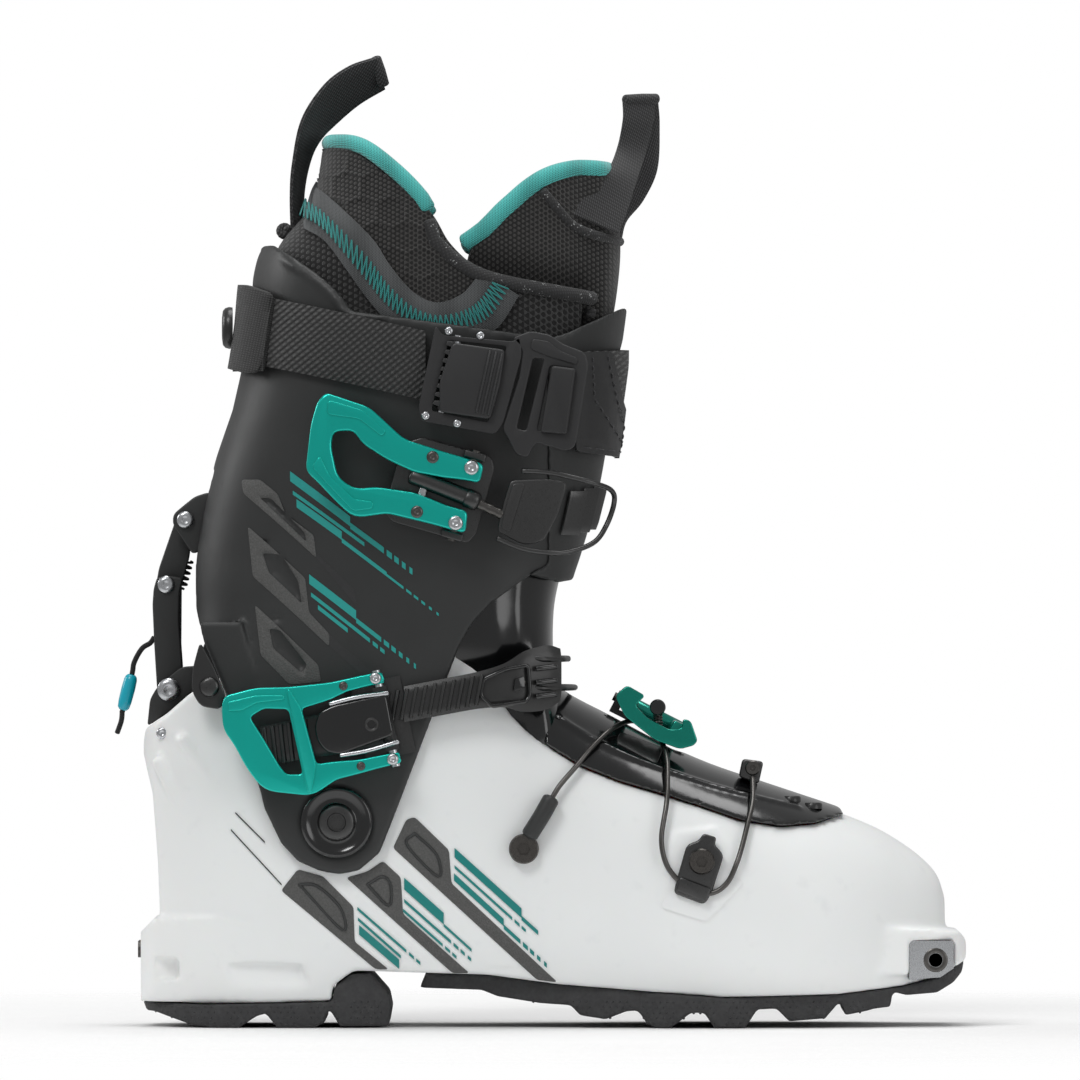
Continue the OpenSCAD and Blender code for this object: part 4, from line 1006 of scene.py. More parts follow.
HEEL_ROWS = [
    (-148.5, 9), (-147, 5.5), (-144, 5.4), (-130, 0.7), (-124, 0), (-113, 0), (-107, 4), (-103.5, 5),
    (-99.7, 0), (-85.7, 0), (-82, 2.2), (-81.7, 6), (-80.3, 6), (-77, 0.4), (-59.4, 0.4), (-58.3, 6.8),
    (-59.4, 12.2), (-66, 19.6), (-73, 19.2), (-79, 14.6), (-79.6, 9.2), (-126, 8.1)]
FORE_ROWS = [
    (-48.2, 14), (-26, 13.3), (-20.2, 11), (-4.7, 8.6), (6.1, 7.9), (9.4, 4.3), (18.7, 2.9), (26, 5.8),
    (30.2, 6.1), (33.5, 1.4), (36.5, 0), (42.1, 0), (49.3, 5.4), (54, 5.4), (57.6, 0), (68.8, 0),
    (73.1, 6.5), (80, 6.8), (84.6, 2.2), (97.6, 3.2), (102.6, 9), (103.3, 9), (104.8, 4.3), (112.7, 5.8),
    (115.2, 6.5), (121.3, 7.2), (122, 12.6), (127, 11.2), (138.3, 12), (144.4, 15.5), (147.6, 19.1),
    (148.6, 23.8), (139, 17.4), (125, 14.3), (103, 11.8), (60, 10.8), (2, 15.3), (-24, 18.7),
    (-46, 19.3)]


def soles():
    """Two lugged rubber soles, each parted into lugs by a channel along the middle and grooves across."""
    heel = prism("heel", HEEL_ROWS, -60, 60, None)
    boolean(heel, disc_chain("plan", [(-114, 0, 34.5), (-75, 0, 35)], -2, 40), "INTERSECT")
    cut(heel, rect(-108, -3, -82, 4), -10, 10)
    fore = prism("fore", FORE_ROWS, -60, 60, None)
    plan = disc_chain("plan", [(96, 4.5, 38), (52, 3, 44), (122, 6.5, 26.5)], -2, 40)
    rear_plan = disc_chain("plan", [(30, 2, 38), (-50, 0, 24)], -2, 40)
    boolean(fore, boolean(plan, rear_plan, "UNION"), "INTERSECT")
    channel = [(-40, -3), (110, -3), (110, 5), (60, 5), (20, 6.5), (-40, 9)]
    cut(fore, channel, -4, 9)
    for built, name, node in ((heel, "heel_sole", "sole_heel"), (fore, "fore_sole", "sole_forefoot")):
        dots = [lug_dots(built, side) for side in (-1, 1)]
        remeshed(built, 0.8, 3, "sole_rubber")
        whole = join(name, [built, *filter(None, dots)])
        ride(whole, "lower_boot", node, slot="sole_rubber")


def lug_dots(sole, side):
    """Rows of small raised dots on the flanks of the lugs."""
    graph = bpy.context.evaluated_depsgraph_get()
    shown = sole.evaluated_get(graph)
    points, faces = [], []
    pitch, radius = 2.4, 0.55
    low = min(v.co.x for v in sole.data.vertices) / MM
    high = max(v.co.x for v in sole.data.vertices) / MM
    for i in range(int((high - low) / pitch)):
        for j in range(5):
            x = low + pitch * i + (pitch / 2 if j % 2 else 0)
            z = 1.6 + 1.9 * j
            if abs(math.sin(x * 0.21)) < 0.35:
                continue
            hit, place, normal, _ = shown.ray_cast(Vector((x, side * 80, z)) * MM, Vector((0, -side, 0)))
            if not hit or abs(normal.y) < 0.5:
                continue
            base = len(points)
            u = normal.orthogonal().normalized()
            v = normal.cross(u)
            for c, s in circle(6):
                points.append(place + (u * c + v * s) * radius * MM - normal * 0.2 * MM)
            points.append(place + normal * 0.38 * MM)
            faces += [[base + k, base + (k + 1) % 6, base + 6] for k in range(6)]
            faces.append([base + k for k in range(6)][::-1])
    return make("dots", points, faces, "sole_rubber", False) if points else None


def fittings():
    """Metal fittings of the toe and heel."""
    repaint("toe_fitting", "bright_steel", 0.4)
    repaint("heel_fitting", "bright_steel", 0.4)
    repaint("heel_screws", "dark_steel", 0.2)
    for s, y in ((-1, -25.5), (1, 37.5)):
        eye = turned("eye", [(2.5, 0.6), (2.6, -0.1), (3.3, -0.35), (4.0, -0.3), (4.4, 0.0), (4.4, 0.6)],
            "dark_steel")
        if s > 0:
            eye.data.transform(Matrix.Scale(-1, 4, (0, 1, 0)))
            eye.data.flip_normals()
        shifted(eye, 137.5, y, 24)
        eye.name = "toe_eye_outer" if s < 0 else "toe_eye_inner"
        ride(eye, "lower_boot", slot="dark_steel")


def throat():
    """The glossy cover over the instep, its raised ridges and its screws."""
    cover = cut(foot_solid("cover", -1.6), COVER_LINE, -80, 80, "INTERSECT")
    boolean(cover, foot_solid("inner", 3, 60, 80), "DIFFERENCE")
    ridges = []
    for s in (-1, 1):
        route = []
        for x, z in [(2, 108), (14, 100.4), (30, 94), (52, 88), (72, 83.4), (88, 80.4)]:
            middle = at(FOOT, x, 1)
            offset = (middle - foot_y(x, z - 6)) * 0.86
            route.append(Vector((x, middle + s * offset, foot_top(x, offset) + 1.4)))
        ridges.append(tube("ridge", spline(route, 8), 1.7, None, 12))
    cover = join("instep_cover", [cover, *ridges])
    remeshed(cover, 0.9, 4, "tongue_gloss")
    ride(cover, "lower_boot", "throat_cover", slot="tongue_gloss")
    for k, (x, z) in enumerate([(85.7, 79.2), (93.4, 76.8)]):
        head = [(0.2, 0.9), (1.5, 0.9), (1.6, 1.9), (2.9, 2.2), (3.4, 1.6), (3.4, 0)]
        screw = turned(f"cover_screw_{k}", head, "black_plastic")
        screw.data.transform(Matrix.Rotation(math.radians(90), 4, "X"))
        shifted(screw, x, -18, z + 1.6)
        ride(screw, "lower_boot", *(["throat_screws"] if k == 0 else []), slot="black_plastic")


def foot_top(x, offset):
    """Height of the foot's skin at x, offset sideways from its middle."""
    top, e = at(FOOT, x, 3), at(FOOT, x, 4)
    middle, high = (top - 4) / 2, (top + 4) / 2
    return middle + high * max(0, 1 - (abs(offset) / at(FOOT, x, 2)) ** e) ** (1 / e)


# height, how far the front swells, how far the sides sink below the face of the leg
TONGUE_SHAPE = [
    (92, 0, 6.4), (104, 5.6, 6.2), (112, 4.8, 6), (118, 3.2, 5.6), (122, 1.8, 5.2), (128, 0.8, 4.4),
    (136, 0.2, 2.6), (146, 0, 1.4), (160, 0, 1.4), (176, 0, 2.2), (232, 0, 2.2)]


def shell_tongue():
    """Curved glossy tongue that closes the front of the shell under the flap."""
    rings = []
    for z in [92 + 140 * i / 56 for i in range(57)]:
        reach = 80 if z < 172 else max(58, 80 - (z - 172) * 1.2)
        swell, sink = at(TONGUE_SHAPE, z, 1), at(TONGUE_SHAPE, z, 2)
        turns = [reach * (k / 20 - 1) for k in range(41)]
        outer, inner = [], []
        for a in turns:
            side = clamp((abs(a) - 34) / 16)
            side = side * side * (3 - 2 * side)
            middle = swell - 1.4 + 0.8 * math.cos(math.radians(a * 2.6))
            groove = 0.8 if 52 < abs(a) < 58 else 0
            face = middle * (1 - side) - (sink + groove) * side
            outer.append(leg_point(z, a, face))
            inner.append(leg_point(z, a, min(face - 0.9, -4.2 * (1 - side) - (sink + 0.9) * side)))
        rings.append(outer + inner[::-1])
    tongue = smooth(loft("shell_tongue_gloss", rings, "tongue_gloss"), 50)
    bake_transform(tongue)
    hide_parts("shell_tongue")


# ---------------------------------------------------------------- cuff

CUFF_LINE = [
    (-104.5, 281.5), (-108.6, 276), (-109, 262), (-111.5, 244), (-116, 222), (-122, 205), (-126, 189),
    (-128.5, 179), (-130, 166), (-129.4, 152), (-126.4, 140), (-118.4, 121), (-105.5, 85.5), (-104, 79),
    (-98, 66.5), (-92, 60), (-84, 56.4), (-77, 55.2), (-70, 56.6), (-62.5, 63), (-56, 79.5),
    (-46.5, 104.5), (-34, 137), (-30, 144.5), (-23.4, 152), (-9, 162.4), (1.1, 166.8), (3.5, 200),
    (1.5, 247.5), (-72.5, 257.5), (-75.2, 261.4), (-79.2, 266), (-84.6, 270.6), (-93.2, 276.6),
    (-101, 281.5)]
FLAP_LINE = [
    (1.4, 160), (7.6, 161), (10.5, 171.8), (13, 181), (18, 200.5), (23.8, 243.4), (28, 258.5), (25.5, 259.3),
    (5, 249.8), (-2, 247.5), (-2, 167), (-9, 162.8)]
PATCHES = [
    [(-110, 197), (-109.4, 192), (-85, 168.8), (-85.8, 177), (-95.4, 184.4), (-98, 191.8), (-103.8, 197)],
    [(-108.3, 180.2), (-107, 162.2), (-80.6, 137), (-80.6, 141.6), (-87.7, 149.3), (-89, 161.6)],
    [(-106.4, 152), (-104.7, 134), (-94.8, 123.4), (-83.5, 124.3), (-84.5, 130.4)]]
PATCH_POCKETS = [
    [(-104, 190.4), (-100.4, 190.4), (-89, 178), (-88.4, 174.6)],
    [(-103.6, 170.6), (-97, 170), (-91.4, 160.4), (-90.2, 152.4), (-101.6, 163.6)],
    [(-101.6, 143.6), (-98, 143), (-88.4, 130.4), (-90.6, 127.6), (-100.4, 136.4)]]
PATCH_TAILS = [
    [(-98, 184), (-85.2, 170.6), (-72, 158), (-70.4, 151), (-84.8, 168.6)],
    [(-92, 154), (-80.8, 141.6), (-66, 128.6), (-62, 120.6), (-80.4, 137.2)]]


def leg_solid(name, d, z0, z1, steps=70, count=112, angle0=0.0):
    """The leg from z0 to z1 as a closed solid, its surface d off the leg."""
    rings = []
    for j in range(steps + 1):
        z = z0 + (z1 - z0) * j / steps
        rings.append([leg_point(z, angle0 + 360 * (i + 0.5) / count, d) for i in range(count)])
    return loft(name, rings, None)


def cuff_shell():
    outer = cut(leg_solid("cuff", CUFF_WALL, 50, 290), CUFF_LINE, -80, 80, "INTERSECT")
    for cutter in cuff_cutters():
        boolean(outer, cutter, "DIFFERENCE")
    rims = [cuff_rim(side) for side in (-1, 1)]
    cheek = [(-112, 146), (-127.4, 146), (-125.8, 139), (-118.2, 121), (-108, 92), (-104, 112)]
    rims += [prism("cheek", cheek, side * 41.6, side * 44.4, None) for side in (-1, 1)]
    cuff = join("cuff_body", [outer, *rims])
    remeshed(cuff, 0.95, 4, "cuff_dark")
    ride(cuff, "cuff", "cuff_shell", slot="cuff_dark")


def cuff_rim(side):
    """A slightly thicker rim along the top rear edge of the cuff."""
    line = [(-102, 280), (-94, 275.4), (-85.6, 269.6), (-80, 264.8), (-76.4, 260.6), (-73, 256.6),
        (-60, 254.8)]
    route = []
    for x, z in line:
        p = on_leg(x, z, CUFF_WALL - 0.4)
        route.append(Vector((p.x, -side * p.y, p.z)))
    return tube("rim", spline(route, 6), 1.25, None, 12)


def cuff_cutters():
    cutters = [leg_solid("inside", 0, 40, 300, 60, 96)]
    cutters.append(prism("slot", rect(-170, 40, -110, 200), -13, 13, None))
    cutters.append(prism("arch", rect(-170, 40, -110, 144), -38.5, 38.5, None))
    cutters.append(prism("ankle", arc(PIVOT, 80, 90), -41, 41, None))
    cutters.append(prism("bolt", arc(PIVOT, 4.2, 24), -70, 70, None))
    cutters.append(prism("cap", arc(PIVOT, 13.2, 48), -70, -44.9, None))
    for x, z in ((-104, 174.6), (-100, 147)):
        slot = rounded(rect(x - 2.2, z - 1, x + 2.2, z + 1), 0.9)
        cutters.append(prism("vent", slot, -70, -30, None))
    for pocket in PATCH_POCKETS:
        cutters.append(skin("pocket", rounded(pocket, 1.2), on_leg, CUFF_WALL - 1.1, CUFF_WALL + 3, None))
    return cutters


def cuff_panels():
    """Raised grey panels behind the printed lines, with their tails, on both sides."""
    frames = []
    for outline, pocket in zip(PATCHES, PATCH_POCKETS):
        panel = skin("panel", rounded(outline, 1.2), on_leg, CUFF_WALL - 0.5, CUFF_WALL + 0.3, "inlay_grey",
            2.5, 0.15)
        hole = skin("hole", rounded(pocket, 1.2), on_leg, CUFF_WALL - 3, CUFF_WALL + 3, None)
        frames.append(boolean(panel, hole, "DIFFERENCE"))
    for tail in PATCH_TAILS:
        frames.append(skin("tail", rounded(tail, 0.8), on_leg, CUFF_WALL - 0.4, CUFF_WALL + 0.12,
            "strap_plastic", 2.5))
    both = join("cuff_panels_outer", frames)
    ride_twice(both, "cuff", "cuff_inlays", "inlay_grey", "cuff_panels_inner")


def cuff_flap():
    """Front flap that laps over the outer side of the cuff."""
    flap = leg_solid("cuff_front_flap", CUFF_WALL + 0.9, 156, 264, 60, 112)
    boolean(flap, leg_solid("in", 1.2, 150, 270), "DIFFERENCE")
    cut(flap, FLAP_LINE, -60, 34, "INTERSECT")
    remeshed(flap, 0.9, 3, "cuff_dark")
    ride(flap, "cuff", "cuff_flap", slot="cuff_dark")


def spoilers():
    """Small fins beside the heel with an oval rivet."""
    outline = [(-127, 139), (-129.6, 129.4), (-130, 121), (-126.9, 115.6), (-119.5, 114.4), (-117.6, 119),
        (-121.6, 129)]
    outer = plate("fin_outer", outline, -48.2, -45.2, "black_plastic", 0.9, 2.4)
    rivet = turned("rivet", [(0.2, -1.2), (2.4, -1.2), (3.2, -0.8), (3.6, 0), (3.6, 0.6)], "gunmetal", 32)
    shifted(rivet, -123.6, -48.3, 122.6)
    built = join("heel_fin_outer", [outer, rivet])
    ride_twice(built, "cuff", "cuff_spoilers", "cuff_dark", "heel_fin_inner")


def pivots():
    """Dished cap, washer and socket head bolt on each ankle."""
    dish = [(12.6, 0.9), (12.8, 0.2), (12.3, -0.5), (11.6, -0.7), (10.6, -0.3), (9.4, 0.35), (7.4, 0.55),
        (6.9, 0.3), (6.6, -0.5), (6.2, -1.4), (5.6, -1.8), (3.4, -1.8), (3.2, -1.5), (3.1, -0.4),
        (0.3, -0.2)]
    cap = turned("cap", [(11, 2.6), *dish], "tongue_gloss", 64)
    hexagon = turned("hex", [(2.9, 0.2), (2.9, -2.4)], None, 6)
    boolean(cap, hexagon, "DIFFERENCE")
    for face in cap.data.polygons:
        reach = (face.center.x**2 + face.center.z**2) ** 0.5 / MM
        face.material_index = 0 if reach > 6.9 else 1
    cap.data.materials.append(MATERIALS["gunmetal"])
    shifted(smooth(cap, 40), PIVOT[0], -47.6, PIVOT[1])
    cap.name = "pivot_cap_outer"
    ride_twice(cap, "lower_boot", "pivot_bolts", "dark_steel", "pivot_cap_inner")


def rivet_head(name, place, radius, height, body):
    """A domed rivet with a small dimple, facing the outer side."""
    profile = [(0.15, -0.72 * height), (radius * 0.3, -0.75 * height), (radius * 0.42, -0.95 * height),
        (radius * 0.62, -height), (radius * 0.85, -0.75 * height), (radius, -0.25 * height), (radius, 0.2)]
    built = shifted(turned(name, profile, "bright_steel", 28), *place)
    return ride(built, body, slot="bright_steel")


# ---------------------------------------------------------------- walk lock on the heel


def lock():
    """Heel bracket, ribbed link bar, pawl, upper bracket and their rivets."""
    bracket_line = [(-134.6, 129.4), (-128.6, 129.8), (-128.2, 121.8), (-132.1, 119.4), (-140.1, 112.4),
        (-146.8, 108), (-145.8, 117.8), (-143.4, 122)]
    cheeks = [plate("cheek", bracket_line, s * 10 - 1.5, s * 10 + 1.5, "cuff_dark", 0.6, 1.6)
        for s in (-1, 1)]
    web = plate("web", [(-130.6, 129.4), (-128.8, 129.4), (-128.4, 122), (-132, 119.8), (-132.6, 121)], -10,
        10, "cuff_dark", 0.4, 0.5)
    ride(join("heel_bracket", [*cheeks, web]), "lower_boot", "lock_bracket", slot="cuff_dark")
    repaint("lock_pin", "dark_steel", 0.2)
    rivet_head("bar_rivet", (BAR[0], -12.4, BAR[1]), 4.1, 1.4, "lock_bar")
    rivet_head("bar_rivet_inner", (BAR[0], 12.6, BAR[1]), 2.8, 0.6, "lock_bar")

    rail = [(-134.0, 161.6), (-135.2, 155.8), (-135.4, 146), (-134.2, 129), (-134.6, 121.7), (-136.6, 118),
        (-139.4, 117.2), (-142, 118.6), (-143.4, 122), (-144.4, 138), (-145, 152), (-144.6, 157.6),
        (-143.4, 161.8), (-139, 162.4)]
    side_rails = [plate("rail", rail, s * 6 - 1.6, s * 6 + 1.6, "cuff_dark", 0.7, 1.2) for s in (-1, 1)]
    blade_line = [(-134.8, 158), (-131.8, 169), (-129.9, 186), (-131.8, 187.4), (-136.4, 183.6),
        (-142.8, 165), (-144, 158)]
    blade = plate("blade", blade_line, -3.4, 3.4, "cuff_dark", 0.6, 1.5)
    core = plate("core", [(-134.6, 160), (-136.6, 160), (-136.8, 122), (-134.9, 122)], -5, 5, "cuff_dark",
        0.4, 0.5)
    coil = tube("spring", spring((-135.6, 0, 158), (-133, 0, 168), 2.5, 5), 0.45, "dark_steel", 8)
    ride(join("link_bar", [*side_rails, blade, core, coil]), "lock_bar", "lock_bar", slot="cuff_dark")

    pawl_line = [(-139.4, 166), (-138.1, 158), (-138.1, 134.4), (-144.2, 134.2), (-144.6, 139),
        (-141.8, 146), (-143, 160), (-141.4, 165.6)]
    pawl = plate("pawl", pawl_line, -3.3, 3.3, "black_plastic", 0.6, 1.4)
    ride(pawl, "pawl", "walk_pawl", slot="black_plastic")
    rivet_head("pawl_rivet", (PAWL[0], -8.0, PAWL[1]), 3.1, 1.1, "pawl")
    rivet_head("pawl_rivet_inner", (PAWL[0], 8.2, PAWL[1]), 2.4, 0.4, "pawl")

    upper_line = [(-124.6, 192.6), (-129.6, 191), (-133.4, 188), (-137.4, 184.6), (-137.6, 181),
        (-134.6, 176.6), (-130.4, 170), (-121.6, 176), (-119, 190)]
    cheeks = [plate("cheek", upper_line, s * 10.3 - 1.4, s * 10.3 + 1.4, "cuff_dark", 0.6, 1.6)
        for s in (-1, 1)]
    ride(join("cuff_lock_bracket", cheeks), "cuff", "cuff_bracket", slot="cuff_dark")
    repaint("guide_rivets", "dark_steel", 0.2)
    rivet_head("guide_rivet_head", (GUIDE[0], -12.6, GUIDE[1]), 3.1, 1.2, "cuff")
    rivet_head("shell_rivet", (-141, foot_y(-141, 105.8) - 0.3, 105.8), 2.1, 1.0, "lower_boot")


def spring(start, end, radius, turns, per_turn=14):
    """Points along a coil from start to end."""
    start, end = Vector(start), Vector(end)
    axis = (end - start).normalized()
    u = axis.orthogonal().normalized()
    v = axis.cross(u)
    points = []
    for i in range(turns * per_turn + 1):
        a = 2 * math.pi * i / per_turn
        points.append(start.lerp(end, i / (turns * per_turn)) + (u * math.cos(a) + v * math.sin(a)) * radius)
    return points


# ---------------------------------------------------------------- buckles


def raised(name, outline, y, height, material, corner=1.2, edge=0.3):
    """A thin raised plate on the outer face of a lever."""
    return plate(name, outline, y - height, y + 0.4, material, edge, corner)


def head(x, z, y, radius, height, material="bright_steel"):
    """A rivet head at x, z in a local frame, standing out from y."""
    profile = [(0.15, -0.74 * height), (radius * 0.3, -0.78 * height), (radius * 0.4, -0.96 * height),
        (radius * 0.62, -height), (radius * 0.85, -0.78 * height), (radius, -0.3 * height), (radius, 0.3)]
    return shifted(turned("head", profile, material, 28), x, y, z)


# y of the outer face of the two big levers, in their own frames
LEVER_FACE = -5.7


def upper_buckle():
    """Base, forked lever, bail with its barrel and clip, and the ladder teeth it hooks on."""
    outline = [(-57.6, 21.9), (-41.1, 21.2), (-26, 13.6), (-17.2, 13.4), (-11.3, 13.2), (-4.1, 13.2),
        (4, 12.8), (4.4, 5.9), (-1.5, 5.4), (-8.7, 4.2), (-19.3, 3.2), (-29.8, 4.8), (-39.8, 7.8),
        (-44.3, 11.6), (-51.1, 9.2), (-50.4, 3.9), (-45, -6.2), (-38.1, -8.4), (-31, -5.6), (-17.4, -3.8),
        (-12.2, -4.2), (-5.2, -5), (3.1, -5), (4.4, -12.8), (-1.5, -13), (-8.1, -13), (-24.4, -13.7),
        (-35.6, -18.6), (-43.4, -14.6), (-51.5, -9.8), (-56.8, -7.1), (-59.6, 9.6), (-59.5, 18)]
    corners = [4, 3, 3, 1, 1, 1, 2, 2, 1, 1, 2, 3, 3, 2.5, 2.5, 3, 4, 3, 3, 1, 1, 1, 2, 2, 1, 1, 2, 4, 3, 2,
        3, 4, 4]
    parts = [bevelled(prism("lever", rounded(outline, corners), LEVER_FACE, -1.7, "teal_lever"), 0.9)]
    for low, high in ((6, 12.8), (-12.8, -5.4)):
        parts.append(bevelled(prism("cheek", rounded(rect(-16, low, 2.2, high), 0.8), -3.4, 1.6,
            "teal_lever"), 0.5))
    for ridge in ([(-56, 19.6), (-43, 19.4), (-33, 14.6), (-34, 12.4), (-43.6, 16.2), (-55, 14.6)],
            [(-55, -5), (-47, -10), (-36.4, -16.2), (-30, -13.4), (-30.6, -11), (-37, -12), (-48, -6.4),
            (-53.4, -0.4)]):
        parts.append(raised("ridge", ridge, LEVER_FACE, 0.7, "teal_lever", 1.4))
    parts += [head(0, z, -5.6, 2.7, 1.1) for z in (10.4, -10.2)]
    parts += [head(-14.4, z, -5.6, 2.2, 0.8, "dark_steel") for z in (10.2, -10.2)]
    ride(placed(join("upper_lever_body", parts), UPPER), "upper_lever", "upper_lever", slot="teal_lever")

    base = [plate("base", [(-26, -13), (-22, -16), (6, -16), (8, -12), (8, 12), (6, 16), (-20, 16),
        (-26, 12)], 2.6, 4.4, "gunmetal", 0.4, 1.5)]
    base += [box("lug", (-4, -1.8, z), (4, 4, z + 2.8), "gunmetal", 0.6) for z in (13.4, -16.2)]
    for u in (-20, 4):
        base.append(shifted(turned("foot", [(2.2, 3), (2.2, 9.4)], "gunmetal", 20), u, 0, -10))
    base.append(head(-20.6, 7, 2.8, 2.6, 0.8, "dark_steel"))
    ride(placed(join("upper_base_plate", base), UPPER), "cuff", "upper_base", slot="bright_steel")
    repaint("upper_hinge_pin", "dark_steel", 0.2)

    axis = [Vector((-19.4 + 24 * s, -2.2 + 0.2 * s, 1.8 - 2.4 * s)) for s in (0, 0.2, 0.4, 0.6, 0.8, 1)]
    barrel = tube("barrel", axis, 3.1, "gunmetal", 32)
    collar = tube("collar", [Vector((1.4, -2.1, -0.3)), Vector((4.8, -2, -0.8))], 3.5, "gunmetal", 32)
    rod = tube("rod", [Vector((2 + k * 1.3, -1.9, -0.7 - 0.2 * k)) for k in range(11)],
        lambda share: 1.75 + 0.18 * math.sin(share * 84), "dark_steel", 20)
    cross_pin = tube("cross", [Vector((-14.4, -1.9, -12.6)), Vector((-14.4, -1.9, 12.4))], 1.5,
        "bright_steel", 20)
    ride(placed(join("bail_screw", [barrel, collar, rod, cross_pin]), UPPER), "bail", "bail_barrel",
        slot="bright_steel")

    clip = [(14.4, 1.7), (14.6, 10), (27, 14), (34.6, 14.9), (34.3, 3.1), (31.9, -8.4), (25, -11.2),
        (15, -9)]
    plates = [plate("clip", clip, -3.4, -1, "gunmetal", 0.6, [1.5, 2, 2, 2.5, 2, 4, 2, 2])]
    plates.append(raised("clip_step", [(15.6, 1.4), (15.8, 9), (20, 10.4), (19.6, -8), (16, -7.4)], -3.3,
        0.6, "gunmetal"))
    ride(placed(join("bail_clip_plate", plates), UPPER), "bail", "bail_clip", slot="bright_steel")
    route = [(18, -4.4, 14.4), (27, -4.2, 16.4), (35, -4, 17), (44, -1.6, 17.2), (50.4, 5, 16.4),
        (52.6, 9.6, 12.5), (52.2, 9.6, 4), (49.4, 4.6, -3.4), (41, -1.6, -9.4), (33, -4, -11.6),
        (25, -4.2, -12.4), (16, -4.4, -11.4)]
    wire = tube("bail_wire_loop", spline(route, 8), 0.95, "gunmetal", 14)
    ride(placed(wire, UPPER), "bail", "bail_wire", slot="bright_steel")

    teeth = []
    for k in range(3):
        rows = []
        for j in range(4):
            angle, d = -37 + 9 * k + 3.0 * j, CUFF_WALL + 1.3 + 0.8 * j
            low, high = leg_point(177 + k, angle, d), leg_point(193 + k, angle, d)
            rows.append((low, high, Vector((low.x + 50, low.y, 0)).normalized()))
        teeth.append(bevelled(ribbon("tooth", rows, 1.1, "gunmetal", 6, 0, 3), 0.25, 2, 50))
    ride(join("buckle_ladder_teeth", teeth), "cuff", "buckle_ladder", slot="bright_steel")


# How far the ankle strap climbs for each millimetre forward
STRAP_RISE = 0.19


